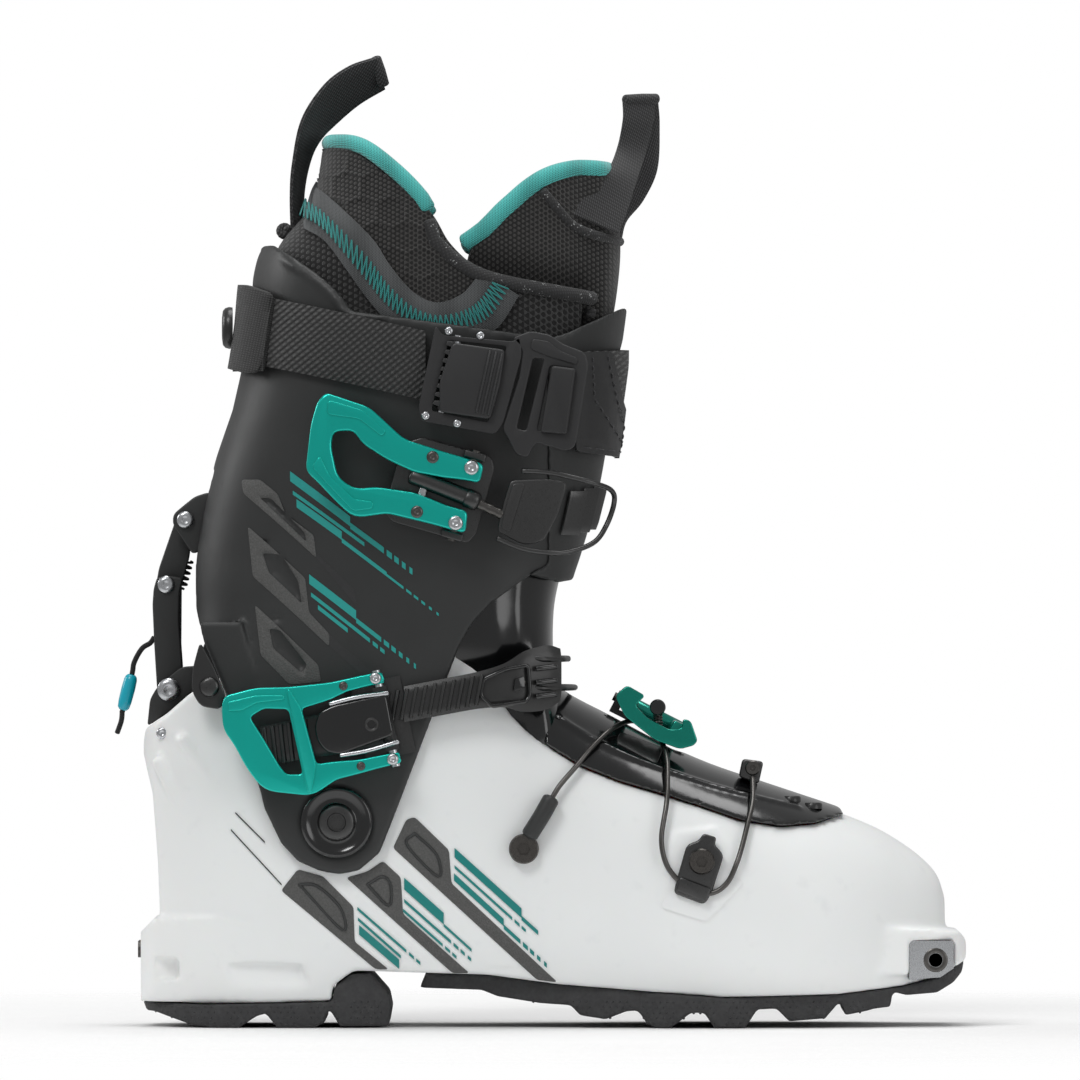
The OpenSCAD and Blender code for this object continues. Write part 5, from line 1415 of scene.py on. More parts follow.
def ankle_buckle():
    """Forked lever with its black release tab, on the toothed strap over the ankle."""
    outline = [(-54.7, 20), (-43.5, 20.5), (-31.9, 18.3), (-17, 16.8), (-7.4, 16.9), (2, 16.8), (2.6, 13.2),
        (-0.2, 12.9), (-11.6, 12.4), (-18.3, 10.7), (-28.7, 9.7), (-27.6, -10.8), (-21.5, -11.2),
        (-12.7, -12.4), (1, -12.6), (3, -16.6), (-7.9, -17), (-13.6, -17.4), (-21.8, -17.7), (-31.5, -21.7),
        (-48.1, -16.2), (-52.5, -6.8), (-55, 2), (-57.8, 8.3), (-56.7, 16.3)]
    corners = [4, 3, 3, 2, 2, 2, 2, 1, 1, 3, 1.5, 1.5, 3, 2, 2, 2, 2, 2, 2, 4, 5, 3, 3, 4, 4]
    body = prism("lever", rounded(outline, corners), LEVER_FACE, -1.5, "teal_lever")
    window = [(-47.5, 10.6), (-42, 12.6), (-33.4, 10.5), (-33.2, -13.3), (-39, -12.2), (-40.8, -8.6),
        (-43.9, 0.9)]
    cut(body, rounded(window, 1.6), -9, 4)
    bevelled(body, 0.8)
    parts = [body]
    for low, high in ((12.6, 16.4), (-16.4, -12.8)):
        cheek = rounded(rect(-14, low, 2.2, high), 0.7)
        parts.append(bevelled(prism("cheek", cheek, -4, 2.2, "teal_lever"), 0.4))
    parts.append(raised("bar", [(-31.6, 17.6), (-29, 10), (-27.9, -11), (-31.4, -20.4), (-32.8, -20),
        (-32.6, 17)], LEVER_FACE, 0.8, "teal_lever", 0.8))
    parts.append(raised("ridge", [(-54, 17.6), (-44, 17.8), (-34, 15.8), (-34, 14.2), (-44, 15.2),
        (-50, 13.6), (-54.6, 14.4)], LEVER_FACE, 0.6, "teal_lever", 0.8))
    parts += [head(-0.6, z, -5.6, 2.1, 0.9) for z in (14.9, -14.8)]
    parts += [head(x, z, -5.6, 1.6, 0.6, "dark_steel") for x, z in ((-12.4, 14.6), (-12.2, -14.8))]
    ride(placed(join("ankle_lever_body", parts), ANKLE), "ankle_lever", "ankle_lever", slot="teal_lever")

    tab = [(-25.6, 2.2), (-22.9, 7.2), (-17.5, 8.6), (2, 8.6), (1.6, -6.4), (-18.8, -9.3), (-23.4, -7.2),
        (-25.6, -3)]
    parts = [plate("tab", tab, -5.2, -2.2, "tongue_gloss", 0.8, 2)]
    parts += [tube("bright_edge", spline([(-18.5, -4.6, v * 1.06), (-9, -4.7, v * 1.1), (2.6, -4.6, v)], 5),
        0.85, "bright_steel", 14) for v in (8.8, -9)]
    ring = turned("ring", [(2.4, -5.1), (2.5, -5.6), (2, -5.75), (1.6, -5.5), (1.5, -5.1)], "black_plastic",
        32)
    parts.append(shifted(ring, -5.4, 0, -1))
    parts.append(tube("axle", [Vector((0, 0, -8.2)), Vector((0, 0, 8))], 2.5, "black_plastic", 24))
    ride(placed(join("release_tab_body", parts), ANKLE), "release_tab", "ankle_release_tab",
        slot="black_plastic")
    repaint("ankle_base", "gunmetal", 0.3)
    repaint("ankle_hinge_pin", "bright_steel", 0.2)

    rows = [(-54, -47.4, 6.4), (-40, -47.3, 6.5), (-26.6, -46.6, 6.7), (-18, -45.2, 8), (-12, -43.6, 10.6),
        (-6, -41, 11.6), (-2, -39, 11.2), (1.6, -36.6, 9.4)]
    shape = []
    for x, y, half in rows:
        z = strap_middle(x)
        slope = 0.1 if x < -20 else 0.45
        shape.append((Vector((x, y, z - half)), Vector((x, y, z + half)), Vector((slope, -1, 0))))
    parts = [ribbon("strap", shape, 2.6, "black_plastic", 12, 0.2, 8)]
    for k in range(17):
        x = -80.5 + 3.36 * k
        z = strap_middle(x)
        y = -50 if x > -56 else -49.6
        bar = [(x - 0.9, y + 0.6), (x - 0.7, y - 0.7), (x + 0.3, y - 0.9), (x + 0.8, y + 0.6)]
        tooth = loft("rib", [[Vector((p[0] + STRAP_RISE * v, p[1], z + v)) for p in bar]
            for v in (-5.6, 5.6)], "black_plastic")
        parts.append(bevelled(tooth, 0.2, 2, 30))
    tail = [(Vector((u, 3.4, -9 - 0.06 * (u + 20))), Vector((u, 3.4, 6.4)), Vector((0, -1, 0)))
        for u in (-45, -38, -30, -20, -8, 2)]
    under = [ribbon("tail", tail, 2.2, "black_plastic", 8, 0.1, 3)]
    for k in range(6):
        bar = [(-45 + 3 * k, 1.6), (-44.8 + 3 * k, 0.2), (-43.6 + 3 * k, 0), (-43 + 3 * k, 1.6)]
        rings = [[Vector((p[0] + 0.1 * v, p[1], v)) for p in bar] for v in (-8, 5.8)]
        under.append(bevelled(loft("rib", rings, "black_plastic"), 0.25, 2, 30))
    parts.append(placed(join("tail", under), ANKLE))
    parts.append(head(-11.6, 124.2, -46.4, 1.5, 0.5, "dark_steel"))
    emboss = rounded([(-25.4, 125.4), (-17.6, 129), (-9.4, 130.4), (-8.6, 120), (-10, 117.4), (-22.4, 115.6),
        (-26.4, 119.6)], 1.2)
    outline = [strap_face(p[0], p[1], 0.5) for p in [*emboss, emboss[0]]]
    parts.append(tube("emboss", outline, 0.75, "tongue_gloss", 10, False))
    parts.append(skin("hole", rounded([(-14.6, 121), (-10.6, 122), (-10.8, 126.4), (-14, 125.6)], 0.8),
        strap_face, -0.3, 0.5, "tongue_gloss", 3, 0.1))
    for z in (119.4, 124.4, 129.4):
        parts.append(tube("finger", [strap_face(x, z + 0.1 * (x + 4), 0.5) for x in (-6.4, -4, -1.6, 0.6)],
            1.0, "tongue_gloss", 12))
    ride(join("ankle_strap_band", parts), "lower_boot", "ankle_strap", slot="black_plastic")

    hoops = []
    for z, back in ((122, 3.4), (132.4, 7.6)):
        front = [(x - back * max(0, 1 - abs(y) / 40), y, z) for x, y in RING_PLAN]
        hoops.append(tube("hoop", spline([(-6.6, -43.6, z + 0.6), (-3, -42.6, z), *front], 6), 0.95,
            "gunmetal", 12))
    anchor = box("anchor", (-33, 45.8, 116), (-27, 48.4, 137), "gunmetal", 0.5)
    ride(join("ankle_wire", [*hoops, anchor]), "lower_boot", "ankle_ring", slot="bright_steel")


RING_PLAN = [
    (2.8, -37.8), (5.4, -32.6), (8.6, -22), (10.4, -8), (10.4, 8), (8.6, 22), (4, 34), (-6, 42), (-18, 46.6),
    (-30, 47.6)]


def strap_middle(x):
    """Height of the middle of the ankle strap, which rises towards the front."""
    return 116.6 + (x + 52.6) * STRAP_RISE


def strap_face(x, z, d):
    """The outer face of the end of the ankle strap."""
    y = -48.2 + max(0, x + 20) * 0.27 + max(0, x + 10) * 0.12
    return Vector((x + 0.3 * d, y - 1.2 - d, z))


def instep_buckle():
    """Small lever with its threaded knob on the throat."""
    frame = []
    for u in (-9.2, 9.2):
        rings = [[Vector((x, y, z)) for x, z in rect(u - 2.3, -2.5, u + 2.3, 2.5)]
            for y in (2, -14, -28, -40)]
        frame.append(bevelled(loft("arm", rings, "teal_gloss"), 1.0, 4, 20))
    fork = [(-16, 0.5), (-13.9, 5.9), (-6.1, 5.5), (-8.1, 0.8), (-1.8, -1.3), (7.3, -1.5), (11, 1.2),
        (9.5, 4.2), (12.4, 4.9), (17.9, -0.4), (17.4, -2.6), (13.6, -6), (4.1, -7.2), (-9.5, -4.5)]
    frame.append(bevelled(prism("end", rounded(fork, 1.6), -42, -33.6, "teal_gloss"), 1.3, 4))
    frame.append(tube("hinge", [Vector((-11.4, 0, 0)), Vector((11.4, 0, 0))], 3, "teal_gloss", 28))
    lever = join("instep_lever_body", frame)
    ride(placed(lever, INSTEP), "instep_lever", "instep_lever", slot="teal_lever")
    thread = [Vector((-0.2 + 0.14 * k, -38, 3.4 - 0.26 * k)) for k in range(25)]
    knob = tube("knob", thread, lambda share: 1.7 + 0.2 * math.sin(share * 46), "dark_steel", 24)
    disc = shifted(turned("disc", [(2.9, 3), (2.9, -1.6), (2.5, -2.2), (0.2, -2.2)], "tongue_gloss", 32),
        -0.4, -40.4, 3.8)
    ride(placed(join("instep_knob_body", [knob, disc]), INSTEP), "instep_lever", "instep_knob",
        slot="teal_lever")
    repaint("instep_base", "black_plastic", 0.4)
    repaint("instep_pin", "dark_steel", 0.2)


# ---------------------------------------------------------------- power strap


def strap_rows(places, d, z0, z1, slope):
    """Rows of a strap round the outer side, from low to high edge, at each x."""
    rows = []
    for x in places:
        low, high = on_leg(x, z0 + slope * x, d), on_leg(x, z1 + slope * x, d)
        out = low - on_leg(x, z0 + slope * x, d - 1)
        rows.append((low, high, out))
    return rows


def band_rows(first, last, count, d, z0, z1, slope):
    """Rows of a strap that goes round the front, by angle from the front."""
    rows = []
    for i in range(count + 1):
        a = first + (last - first) * i / count
        low, high = leg_point(z0 + slope * (a - first), a, d), leg_point(z1 + slope * (a - first), a, d)
        rows.append((low, high, low - leg_point(z0 + slope * (a - first), a, d - 1)))
    return rows


def stitches(name, start, end, surface, d, material="thread", length=1.9, gap=1.0):
    """A row of short stitches from start to end, places of x and z on a surface."""
    start, end = Vector(start), Vector(end)
    count = max(2, int((end - start).length / (length + gap)))
    parts = []
    for k in range(count):
        a, b = start.lerp(end, k / count), start.lerp(end, (k + length / (length + gap)) / count)
        places = [a, a.lerp(b, 0.25), a.lerp(b, 0.5), a.lerp(b, 0.75), b]
        heights = (d - 0.25, d + 0.12, d + 0.2, d + 0.12, d - 0.25)
        route = [surface(p[0], p[1], h) for p, h in zip(places, heights)]
        parts.append(tube("stitch", route, 0.26, material, 6, False))
    return join(name, parts)


def power_strap():
    """Webbing round the leg, its blank sleeve, knob, cam, hook and stitched patch."""
    rear = ribbon("strap_rear_webbing", strap_rows([-100 + 6 * i for i in range(10)], CUFF_WALL + 1.4, 214.4,
        239.4, -0.235), 1.9, "webbing", 14, 0.3)
    ride(rear, "cuff", "strap_rear", slot="webbing")
    outline = [(-113.6, 259), (-111.4, 265.4), (-108.8, 267.6), (-104, 267.4), (-95.6, 263.8), (-96.4, 249),
        (-99.4, 236.6), (-103, 235), (-110, 237.4), (-112.6, 240), (-114, 248)]
    outer = skin("sleeve", rounded(outline, 2.2), on_leg, CUFF_WALL + 3.2, CUFF_WALL + 5.2, "sleeve_web", 3,
        0.5)
    wrap = ribbon("sleeve_wrap",
        [(leg_point(236, 180 + a, CUFF_WALL + 3.4), leg_point(263, 180 + a, CUFF_WALL + 3.4),
        Vector((-math.cos(math.radians(a)), -math.sin(math.radians(a)), 0))) for a in (14, 22, 30, 38)], 1.5,
        "sleeve_web", 8, 0.2)
    ride(join("strap_sleeve_cover", [outer, wrap]), "cuff", "strap_sleeve", slot="webbing")
    knob = turned("knob", [(7.4, 0), (7.6, 1.2), (7.2, 2.6), (6.2, 3.5), (4, 3.8), (3.2, 3.4), (3, 2.2),
        (0.2, 2.2)], "black_plastic", 44)
    knob.data.transform(Matrix.Rotation(math.radians(90), 4, "Z"))
    shifted(knob, -116.2, 0, 252)
    ride(knob, "cuff", "strap_screw", slot="black_plastic")

    hook = [(-17.9, 15.9), (-14.8, 12.8), (10.4, 16.1), (12.5, 18.3), (14.6, 12), (13.4, -13), (11.5, -17.6),
        (-15.5, -18.8), (-17.4, -14)]
    frame = prism("frame", rounded(hook, 1.8), -1.4, 2.4, "strap_plastic")
    cut(frame, rounded([(-12, 11.4), (8.6, 14), (8, -14), (-12.6, -14.4)], 1), -3, 4)
    bevelled(frame, 0.6)
    parts = [frame]
    places = [(-12.8, 14.8), (-1.4, 15.6), (-14.2, -16.6), (-2.6, -16.8)]
    parts += [head(x, z, -1.3, 1.5, 0.7) for x, z in places]
    ride(placed(join("strap_cam_frame", parts), STRAP), "cuff", "strap_frame", slot="black_plastic")
    repaint("strap_pin", "bright_steel", 0.2)

    cam = plate("cam", [(-10.6, 11), (8.4, 12.6), (9.4, 0), (8.6, -12.8), (-9.6, -14.2), (-12, -4)], -3.8,
        -0.6, "strap_plastic", 0.7, 1.6)
    ridges = [cam, tube("axle", [Vector((-9.2, 0.7, -13)), Vector((-9.2, 0.7, 10))], 2.2, "strap_plastic",
        20)]
    for k in range(8):
        v = -12 + 3.1 * k
        ridges.append(plate("tooth", [(-12.8, v), (-10, v - 0.4), (-10, v + 1.8), (-12.4, v + 1.4)], -3.2,
            -1, "strap_plastic", 0.3, 0.4))
    for u in (3.2, 5.4, 7.6):
        line = [Vector((u, -3.9, v)) for v in (-11.4, -4, 4, 11)]
        ridges.append(tube("groove", line, 0.55, "strap_plastic", 10))
    ride(placed(join("cam_lever_plate", ridges), STRAP), "strap_cam", "strap_cam_lever",
        slot="black_plastic")

    outer = [(9.7, 17.3), (15.6, 21.2), (22.9, 21.4), (27.9, 19.2), (36.4, 18), (38.6, 14), (40.4, -15.6),
        (37.6, -18), (26, -17.4), (24.4, -23.4), (20.4, -23), (16, -17.6), (13.6, -15), (15.4, 4),
        (14.6, 14)]
    catch = prism("catch", rounded(outer, 1.8), -1.4, 1.6, "strap_plastic")
    for hole in ([(25.4, 10.6), (33.5, 11.4), (34.6, -11.4), (26, -13)],
            [(18.8, 12), (22.6, 12.6), (22, -14), (18.6, -14)]):
        cut(catch, rounded(hole, 1), -3, 4)
    bevelled(catch, 0.6)
    bar = plate("bar", [(25.8, 10.8), (34.6, 11.6), (36.6, -12), (27, -13.4)], -3.8, 0.4, "leatherette", 1.7,
        1.2)
    lip = raised("lip", [(17, 18.6), (22.6, 19), (27.6, 16.6), (34.6, 15.4), (34.4, 13), (24, 13.8),
        (17, 15)], -1.3, 0.8, "strap_plastic")
    ride(placed(join("strap_hook", [catch, bar, lip]), STRAP), "cuff", "strap_catch", slot="black_plastic")

    front = band_rows(-47, 150, 22, CUFF_WALL + 2.4, 208, 243, 0.02)
    webbing = ribbon("webbing", front, 2.0, "webbing", 16, 0.3)
    patch_line = [(1, 242.4), (13, 243.2), (15.6, 226), (20.4, 208.4), (19.8, 204.6), (2, 207)]
    patch = skin("patch", rounded(patch_line, 1.6), on_leg, CUFF_WALL + 4.4, CUFF_WALL + 6.2, "leatherette",
        2.5, 0.35)
    seam = [stitches("seam", a, b, on_leg, CUFF_WALL + 6.2)
        for a, b in (((11.6, 241.6), (13.8, 226)), ((13.8, 226), (18.6, 207.4)), ((4, 208.6), (17.6, 206.8)),
        ((7.4, 226), (16, 209)), ((7.2, 241), (7.4, 226)))]
    ride(join("strap_front_band", [webbing, patch, *seam]), "cuff", "strap_front", slot="webbing")


# ---------------------------------------------------------------- cable and its clip


def cable():
    """Sheathed cable from its anchor, through the knob's yoke, under the clip and up to the post."""
    sleeve = tube("sleeve", spline([(-8.6, -45.2, 69.6), (-4.6, -45.4, 76), (-1.2, -45, 82)], 6), 3.1,
        "cuff_dark", 28)
    ride(sleeve, "lower_boot", "cable_sleeve", slot="dark_steel")
    out = [(-1.6, -44.8, 81), (2, -43.8, 87), (8, -41, 94), (13, -37.9, 100.1), (19, -31.4, 105.9),
        (25, -22.6, 109.4), (30, -17, 110), (35, -17.4, 107.8), (39, -23, 102.4), (40.6, -32, 96),
        (40.8, -39, 89), (40.4, -45, 80.6), (38.6, -48.8, 69), (39.6, -49.8, 61), (42.6, -50.2, 55.4),
        (48, -50.6, 50.6), (54, -50.8, 48.6), (58.6, -50.8, 49.4), (62.6, -50.8, 53), (65.4, -50.4, 59),
        (67.4, -48, 65), (69.6, -42.8, 73.6), (71.4, -35.8, 81.4), (71.6, -24.8, 89.6)]
    wire = tube("cable_run", spline(out, 8), 0.95, "dark_steel", 14)
    ride(wire, "lower_boot", "lace_cable", slot="bright_steel")

    outline = [(53.6, 70.2), (58.4, 68.6), (57.6, 66), (61, 62.4), (56.6, 48.8), (54, 44.4), (43, 48.6),
        (43.6, 52), (47.6, 66), (52, 67.6)]
    clip = [plate("clip", outline, -51.4, -48.4, "gunmetal", 0.7, 2)]
    clip.append(plate("fold", [(43.4, 49.6), (54.4, 45.2), (56.6, 50.4), (45.2, 54.6)], -52.6, -50,
        "gunmetal", 0.8, 1))
    ride(join("cable_clip_plate", clip), "lower_boot", "cable_clip", slot="dark_steel")
    screws = [socket_screw(53, -51.1, 60, 4.7, 2.4), socket_screw(-10.8, -42.6, 64.4, 5.4, 2.8)]
    ride(join("cable_screw_pair", screws), "lower_boot", "cable_screws", slot="dark_steel")
    boss = skin("boss", rounded([(38, 43.6), (54.6, 38.4), (68.4, 52.4), (62, 56), (56, 46), (42, 50)], 2),
        on_foot, -1, 0.9, "white_shell", 2.5, 0.5)
    ride(boss, "lower_boot", slot="white_shell")
    post = [plate("post", [(68, 96.4), (75.6, 95.4), (73.8, 87.3), (66.6, 89.8)], -22, -13, "gunmetal", 0.8,
        1.4)]
    post.append(shifted(turned("ferrule", [(2.6, 0.4), (2.7, -1.4), (2.3, -1.9), (1, -2), (0.9, -1.2),
        (0.1, -1.2)], "dark_steel", 32), 71.6, -21.8, 93.2))
    ride(join("cable_post_block", post), "lower_boot", "cable_post", slot="dark_steel")
    yoke = skin("yoke", rounded([(23, 104.6), (38.6, 98.6), (36.4, 93), (21.6, 101)], 1.6), on_foot, 0.2,
        2.2, "black_plastic", 2.5, 0.5)
    ride(yoke, "lower_boot", slot="black_plastic")


def socket_screw(x, y, z, radius, height):
    """A round screw head with a six-sided socket, on the outer side."""
    profile = [(radius, 0.6), (radius, -height + 0.8), (radius - 0.5, -height), (radius * 0.55, -height),
        (0.2, -height)]
    built = turned("screw", profile, "screw_steel", 40)
    boolean(built, turned("socket", [(radius * 0.46, -0.6), (radius * 0.46, -height - 1)], None, 6),
        "DIFFERENCE")
    return shifted(smooth(built, 30), x, y, z)


# ---------------------------------------------------------------- liner, tongue and pull loops

# angle from the front, height of the middle of the rim
LINER_RIM = [
    (0, 259.5), (36, 262.6), (54, 264.6), (73, 267.8), (83, 271.5), (89, 277.3), (93, 284.8), (97, 293),
    (104, 300.4), (114.5, 307.9), (128, 314.6), (140, 317.6), (159, 318.4), (180, 318.4)]
TONGUE_RIM = [(0, 308.2), (20, 308.6), (41, 308.6), (58, 306), (69, 301), (78, 293), (82.5, 286), (87, 281)]
BAND_UPPER = [
    (-90, 304.8), (-83.5, 300.4), (-75.2, 293.1), (-64.8, 282.8), (-58.6, 273.4), (-50.3, 264.1),
    (-42, 260.5), (-33.7, 263.1), (-29.6, 267.2), (-27, 271)]
BAND_LOWER = [
    (-90, 287.6), (-82.4, 282.8), (-75.2, 273.4), (-67.9, 263.1), (-60.7, 254.8), (-52, 249.6), (-41, 247),
    (-29, 247.4), (-20, 251.6), (-12.5, 263)]


def wide(angle):
    """Angle from the front without its sign."""
    return abs((angle + 180) % 360 - 180)


def parting(x):
    """Height where the leg part of the liner ends above the ankle pivots."""
    return max(118, PIVOT[1] + math.sqrt(max(0, 88.6**2 - (x - PIVOT[0]) ** 2)))


# Size of one quilted cell of the liner
CELL_WIDTH, CELL_HEIGHT = 10.6, 9.2


def quilting(z, x):
    """How far the cells of the quilt stand out of the face of the liner, from 0 in the seams to 1."""
    u, v = x / CELL_WIDTH, (z - 270) / CELL_HEIGHT
    best = near = 9
    for i in range(-1, 2):
        for j in range(-1, 2):
            row = math.floor(v) + j
            column = math.floor(u) + i
            cell = (column + 0.5 + (0.5 if row % 2 else 0), row + 0.5)
            d = math.hypot((u - cell[0]) * 0.9, v - cell[1])
            if d < best:
                best, near = d, best
            elif d < near:
                near = d
    return min(1, (near - best) * 4.6)


def wall(name, angles, low, high, outer, inner, rows, material):
    """A padded wall round the leg: columns by angle, from low(angle) to high(angle)."""
    points, faces = [], []
    count = 2 * (rows + 1)
    for a in angles:
        z0, z1 = low(a), high(a)
        heights = [z0 + (z1 - z0) * j / rows for j in range(rows + 1)]
        points += [leg_point(z, a, outer(z, a)) for z in heights]
        points += [leg_point(z, a, inner(z, a)) for z in heights[::-1]]
    for i in range(len(angles) - 1):
        for j in range(count):
            k = (j + 1) % count
            faces.append([i * count + j, i * count + k, (i + 1) * count + k, (i + 1) * count + j])
    faces.append(list(range(count)))
    faces.append([(len(angles) - 1) * count + j for j in range(count)][::-1])
    return smooth(make(name, points, faces, material), None)


def puffed(built, fill, limit):
    """Lets the foam swell under its cover: a short cloth run with pressure, held near its pattern."""
    before = [v.co.copy() for v in built.data.vertices]
    cloth = built.modifiers.new("cloth", "CLOTH")
    cloth.settings.use_pressure = True
    cloth.settings.uniform_pressure_force = 4 * fill
    cloth.settings.effector_weights.gravity = 0
    cloth.settings.quality = 4
    cloth.settings.tension_stiffness = 40
    cloth.settings.bending_stiffness = 4
    cloth.point_cache.frame_start = 1
    cloth.point_cache.frame_end = 20
    for frame_number in range(1, 21):
        bpy.context.scene.frame_set(frame_number)
    graph = bpy.context.evaluated_depsgraph_get()
    swollen = [v.co.copy() for v in built.evaluated_get(graph).data.vertices]
    built.modifiers.clear()
    for vertex, start, end in zip(built.data.vertices, before, swollen):
        move = end - start
        if move.length > limit * MM:
            move = move.normalized() * limit * MM
        vertex.co = start + move
    bpy.context.scene.frame_set(1)
    built.data.update()
    return built


def liner_leg():
    """Padded leg of the liner with its quilt, band, zigzag seam, teal rim and speckled piping."""
    base = wall("liner_leg_wall", [34 + 292 * i / 60 for i in range(61)],
        lambda a: max(172 if wide(a) < 84 else 0, parting(leg_point(140, a, -5).x)), liner_rim, lambda z,
        a: -1.4, lambda z, a: -8.6, 34, "liner_fabric")
    puffed(base, 0.5, 0.9)
    modify(base, "SUBSURF", levels=1, render_levels=1)
    ride(smooth(base, None), "cuff", "liner_cuff", slot="liner_fabric")

    for side in (1, -1):
        label = "outer" if side == 1 else "inner"
        ride(quilt_panel("liner_quilt_" + label, side), "cuff", slot="liner_fabric")
        edge = [turned_leg(liner_rim(a) + 0.2, a, -2.6, side) for a in range(98, 181, 3)]
        rim = tube("rim", edge, 2.9, "teal_rim", 20)
        edge = [turned_leg(liner_rim(a), a, -1.2, side) for a in range(32, 98, 3)]
        piping = tube("piping", edge, 2.5, "piping", 18)
        end = tube("end", spring(turned_leg(258.6, 32, -1, side), turned_leg(256, 32.5, -1, side), 1.1, 2),
            1.1, "piping", 10)
        ride(join("liner_edge_" + label, [rim, piping, end]), "cuff", slot="liner_fabric")
        ride(band_and_seam("liner_band_" + label, side), "cuff", slot="liner_fabric")


def liner_rim(angle):
    """Height of the top edge of the liner at an angle round the leg."""
    return at(LINER_RIM, min(179.99, wide(angle)), 1)


def turned_leg(z, angle, d, side):
    """A point off the leg; side 1 is the outer side, at -y."""
    p = leg_point(z, angle, d)
    return Vector((p.x, -side * abs(p.y), p.z))


def side_of_leg(side):
    """The surface of the leg on one side, for panels drawn in x and z."""
    def surface(x, z, d):
        p = on_leg(x, min(z, 326), d)
        return Vector((p.x, p.y * side, p.z))
    return surface


def quilt_panel(name, side):
    """Quilted mesh panel between the rim and the band."""
    columns, rows = 110, 60
    points, faces = [], []
    for i in range(columns + 1):
        s = i / columns
        x = -89.6 + 62.0 * s
        low = along(BAND_UPPER, x) - 1.5
        high = along(RIM_SIDE, x) - 2.2
        for j in range(rows + 1):
            z = low + (high - low) * j / rows
            share = min(1, 4 * min(s, 1 - s, j / rows, 1 - j / rows) + 0.15)
            p = on_leg(x, z, -1.2 + share * (1.9 - 0.9 * quilting(z, x)))
            points.append(Vector((p.x, p.y * side, p.z)))
    for i in range(columns):
        for j in range(rows):
            k = i * (rows + 1) + j
            faces.append([k, k + 1, k + rows + 2, k + rows + 1])
    panel = make(name, points, faces, "liner_fine")
    modify(panel, "SOLIDIFY", thickness=0.8 * MM, offset=-1)
    return smooth(panel, None)


RIM_SIDE = [
    (-91, 318), (-84.5, 319.2), (-77, 318.6), (-70, 315.2), (-60, 307.9), (-50.3, 300.4), (-43, 293.5),
    (-37.9, 284.8), (-30.6, 277.3), (-23.3, 271.5)]


def along(table, x):
    """Height of a line at x."""
    return at(table, max(table[0][0], min(table[-1][0], x)), 1)


def band_and_seam(name, side):
    """Bonded grey band with a zigzag of teal thread down its middle."""
    surface = side_of_leg(side)
    lows, highs = spline([(x, z, 0) for x, z in BAND_LOWER], 6), spline([(x, z, 0) for x, z in BAND_UPPER],
        6)
    rows = []
    for low, high in zip(lows, highs):
        a, b = surface(low.x, low.y, -1.2), surface(high.x, high.y, -1.2)
        rows.append((a, b, surface(low.x, low.y, 1) - a))
    parts = [ribbon("band", rows, 2.0, "liner_band", 14, 0.5, 1)]
    count = 96
    route = []
    for k in range(count + 1):
        s = k / count * (len(lows) - 1)
        i = min(int(s), len(lows) - 2)
        low, high = lows[i].lerp(lows[i + 1], s - i), highs[i].lerp(highs[i + 1], s - i)
        place = low.lerp(high, 0.66 if k % 2 else 0.28)
        route.append(surface(place.x, place.y, 1.55))
    for k in range(count):
        middle = (route[k] + route[k + 1]) / 2
        out = Vector((0, -side * 0.25, 0))
        parts.append(tube("thread", [route[k], middle + out, route[k + 1]], 0.3, "teal_thread", 6, False))
    return join(name, parts)


def tongue_rim(angle):
    """Height of the top edge of the tongue at an angle round the leg."""
    return at(TONGUE_RIM, min(86.9, wide(angle)), 1)


def tongue_depth(z, angle):
    """How far the tongue lies off the leg: in front it fills the opening, at the sides it tucks inside."""
    a = wide(angle)
    inner = clamp((a - 26) / 12)
    rise = clamp((z - liner_rim(angle)) / 12)
    return -0.4 - 9.6 * inner + 6.4 * inner * rise - 2.0 * clamp((200 - z) / 30)


def liner_tongue():
    """Padded tongue with its teal rim, a folded seam and fine mesh."""
    angles = [-86 + 172 * i / 56 for i in range(57)]
    base = wall("liner_tongue_pad", angles, lambda a: 162 if wide(a) < 40 else 162 + 1.6 * (wide(a) - 40),
        tongue_rim, tongue_depth, lambda z, a: tongue_depth(z, a) - 4.6, 34, "liner_fine")
    puffed(base, 0.5, 0.7)
    modify(base, "SUBSURF", levels=1, render_levels=1)
    ride(smooth(base, None), "cuff", "liner_tongue", slot="liner_fabric")
    top = [leg_point(tongue_rim(a), a, tongue_depth(tongue_rim(a), a) - 2.2) for a in range(-86, 87, 4)]
    rim = tube("rim", spline(top, 2), 3.3, "teal_rim", 22)
    seam = []
    for side in (1, -1):
        places = [(62, 300.4), (54, 294.2), (44, 288), (30, 284.6), (14, 283.4), (0, 283.2)]
        seam.append(tube("seam", spline([turned_leg(z, a, tongue_depth(z, a) + 0.2, side)
            for a, z in places], 6), 1.7, "piping", 16))
    knot = tube("knot", spring((20.5, -8, 266.6), (20.5, -4, 266.6), 1.2, 2), 1.3, "piping", 10)
    ride(join("tongue_rim_and_seam", [rim, *seam, knot]), "cuff", slot="liner_fabric")


def liner_foot():
    """Foot of the liner, seen only through the gaps above the shell."""
    foot = foot_solid("liner_foot_sock", SHELL_WALL + 1.2, 60, 72)
    line = [(-140, 32), (120, 32), (120, 60), (100, 68), (82, 70), (56, 76), (24, 85), (-6, 98), (-22, 112),
        (-34, 140), (-106, 148), (-117, 138), (-124.6, 116), (-139, 100)]
    cut(foot, line, -60, 60, "INTERSECT")
    boolean(foot, foot_solid("hollow", SHELL_WALL + 6, 60, 48), "DIFFERENCE")
    remeshed(foot, 2.2, 3, "liner_fabric")
    ride(foot, "lower_boot", "liner_boot", slot="liner_fabric")
    repaint("footbed", "foam")
    repaint("boot_board", "black_plastic")


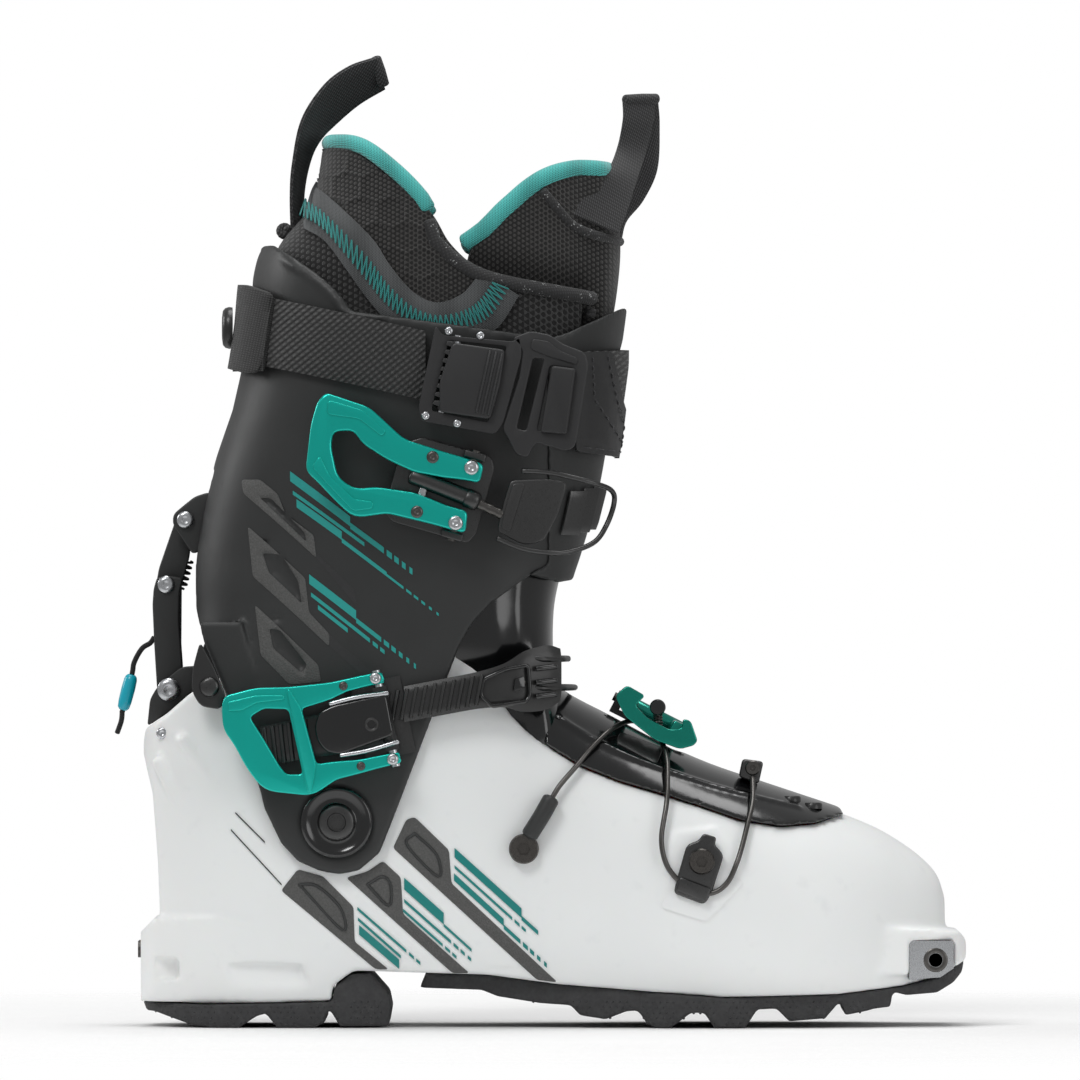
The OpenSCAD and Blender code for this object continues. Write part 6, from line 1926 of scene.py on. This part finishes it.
def folded(name, pairs, thickness, material):
    """A band of webbing through pairs of edge points, facing away from its own curve."""
    pairs = [(Vector(a), Vector(b)) for a, b in pairs]
    rows = []
    for i, (a, b) in enumerate(pairs):
        before, after = pairs[max(0, i - 1)], pairs[min(len(pairs) - 1, i + 1)]
        ahead = (after[0] + after[1]) - (before[0] + before[1])
        rows.append((a, b, ahead.cross(b - a).normalized() * -1))
    return ribbon(name, rows, thickness, material, 16, 0.15, 8)


def pull_loops():
    """Doubled webbing loops at the back of the liner and on the tongue."""
    near = [((-95, -10, 284), (-91.8, 9, 284)), ((-95.4, -10, 299), (-91.8, 9, 301)),
        ((-94.6, -9.6, 311), (-89.4, 8, 313.4)), ((-91.2, -8.6, 327), (-85.6, 6, 321)),
        ((-83, -7, 339.6), (-79.3, 5, 327.3)), ((-74, -5.6, 346.4), (-71, 4, 334.1)),
        ((-64.6, -4.6, 349.8), (-61.7, 3.6, 339.6))]
    far = [((a[0] - 0.6, a[1] + 3.4, a[2] + 0.4), (b[0] + 0.4, b[1] + 3.4, b[2] - 0.6)) for a, b in near]
    fold = tube("fold", [Vector((-64.4, -3, 349.2)), Vector((-62.9, -2, 345)), Vector((-61.6, -1, 340.2))],
        2.1, "loop_webbing", 16)
    coil = tube("coil", spring((-97.4, -8, 287), (-97.4, 6, 287), 1.5, 4), 1.5, "loop_webbing", 10)
    parts = [folded("near", near, 1.7, "loop_webbing"), folded("far", far, 1.7, "loop_webbing"), fold, coil]
    ride(join("rear_loop_webbing", parts), "cuff", "rear_pull_loop", slot="webbing")

    near = [((25.4, -6, 334), (37, 4, 335.2)), ((25.5, -7, 327), (36.6, 3, 327.3)),
        ((23.4, -9, 317), (33.7, 1, 315.9)), ((19.4, -25, 307.6), (30.4, -12, 305.4)),
        ((11.6, -34, 299), (27, -21, 294.6)), ((6, -39, 293), (23.6, -28, 286))]
    far = [((28, 4, 334.4), (38, 8, 334.6)), ((28.6, 4, 325), (38.6, 9, 325.3)),
        ((28, 3, 313), (37.8, 8, 309.6)), ((25, 3, 302), (32.8, 8, 298.3)),
        ((21.6, 2, 294), (26.8, 8, 290.6)), ((21, 2, 286), (25, 8, 284))]
    fold = tube("fold", [Vector((26, -4, 334.4)), Vector((32, 1, 334.9)), Vector((37, 5, 335))], 1.9,
        "loop_webbing", 16)
    parts = [folded("near", near, 1.5, "loop_webbing"), folded("far", far, 1.5, "loop_webbing"), fold]
    ride(join("front_loop_webbing", parts), "cuff", "tongue_pull_loop", slot="webbing")


# ---------------------------------------------------------------- the boot


def build():
    studio()
    paint()
    pull_cord()
    lower_shell()
    shell_inlays()
    soles()
    fittings()
    throat()
    shell_tongue()
    cuff_shell()
    cuff_panels()
    cuff_flap()
    spoilers()
    pivots()
    lock()
    upper_buckle()
    ankle_buckle()
    instep_buckle()
    power_strap()
    cable()
    liner_foot()
    liner_leg()
    liner_tongue()
    pull_loops()
    ride(printed_bars("shell_lines", SHELL_BARS, on_foot, 0.42, "shell_print"), "lower_boot",
        slot="inlay_grey")
    ride(printed_bars("label_lines", LABEL_BARS, on_foot, 0.42, "thin_print"), "lower_boot",
        slot="inlay_grey")
    ride(printed_bars("cuff_lines", CUFF_BARS, on_leg, CUFF_WALL + 0.1, "cuff_print"), "cuff",
        slot="cuff_dark")


build()
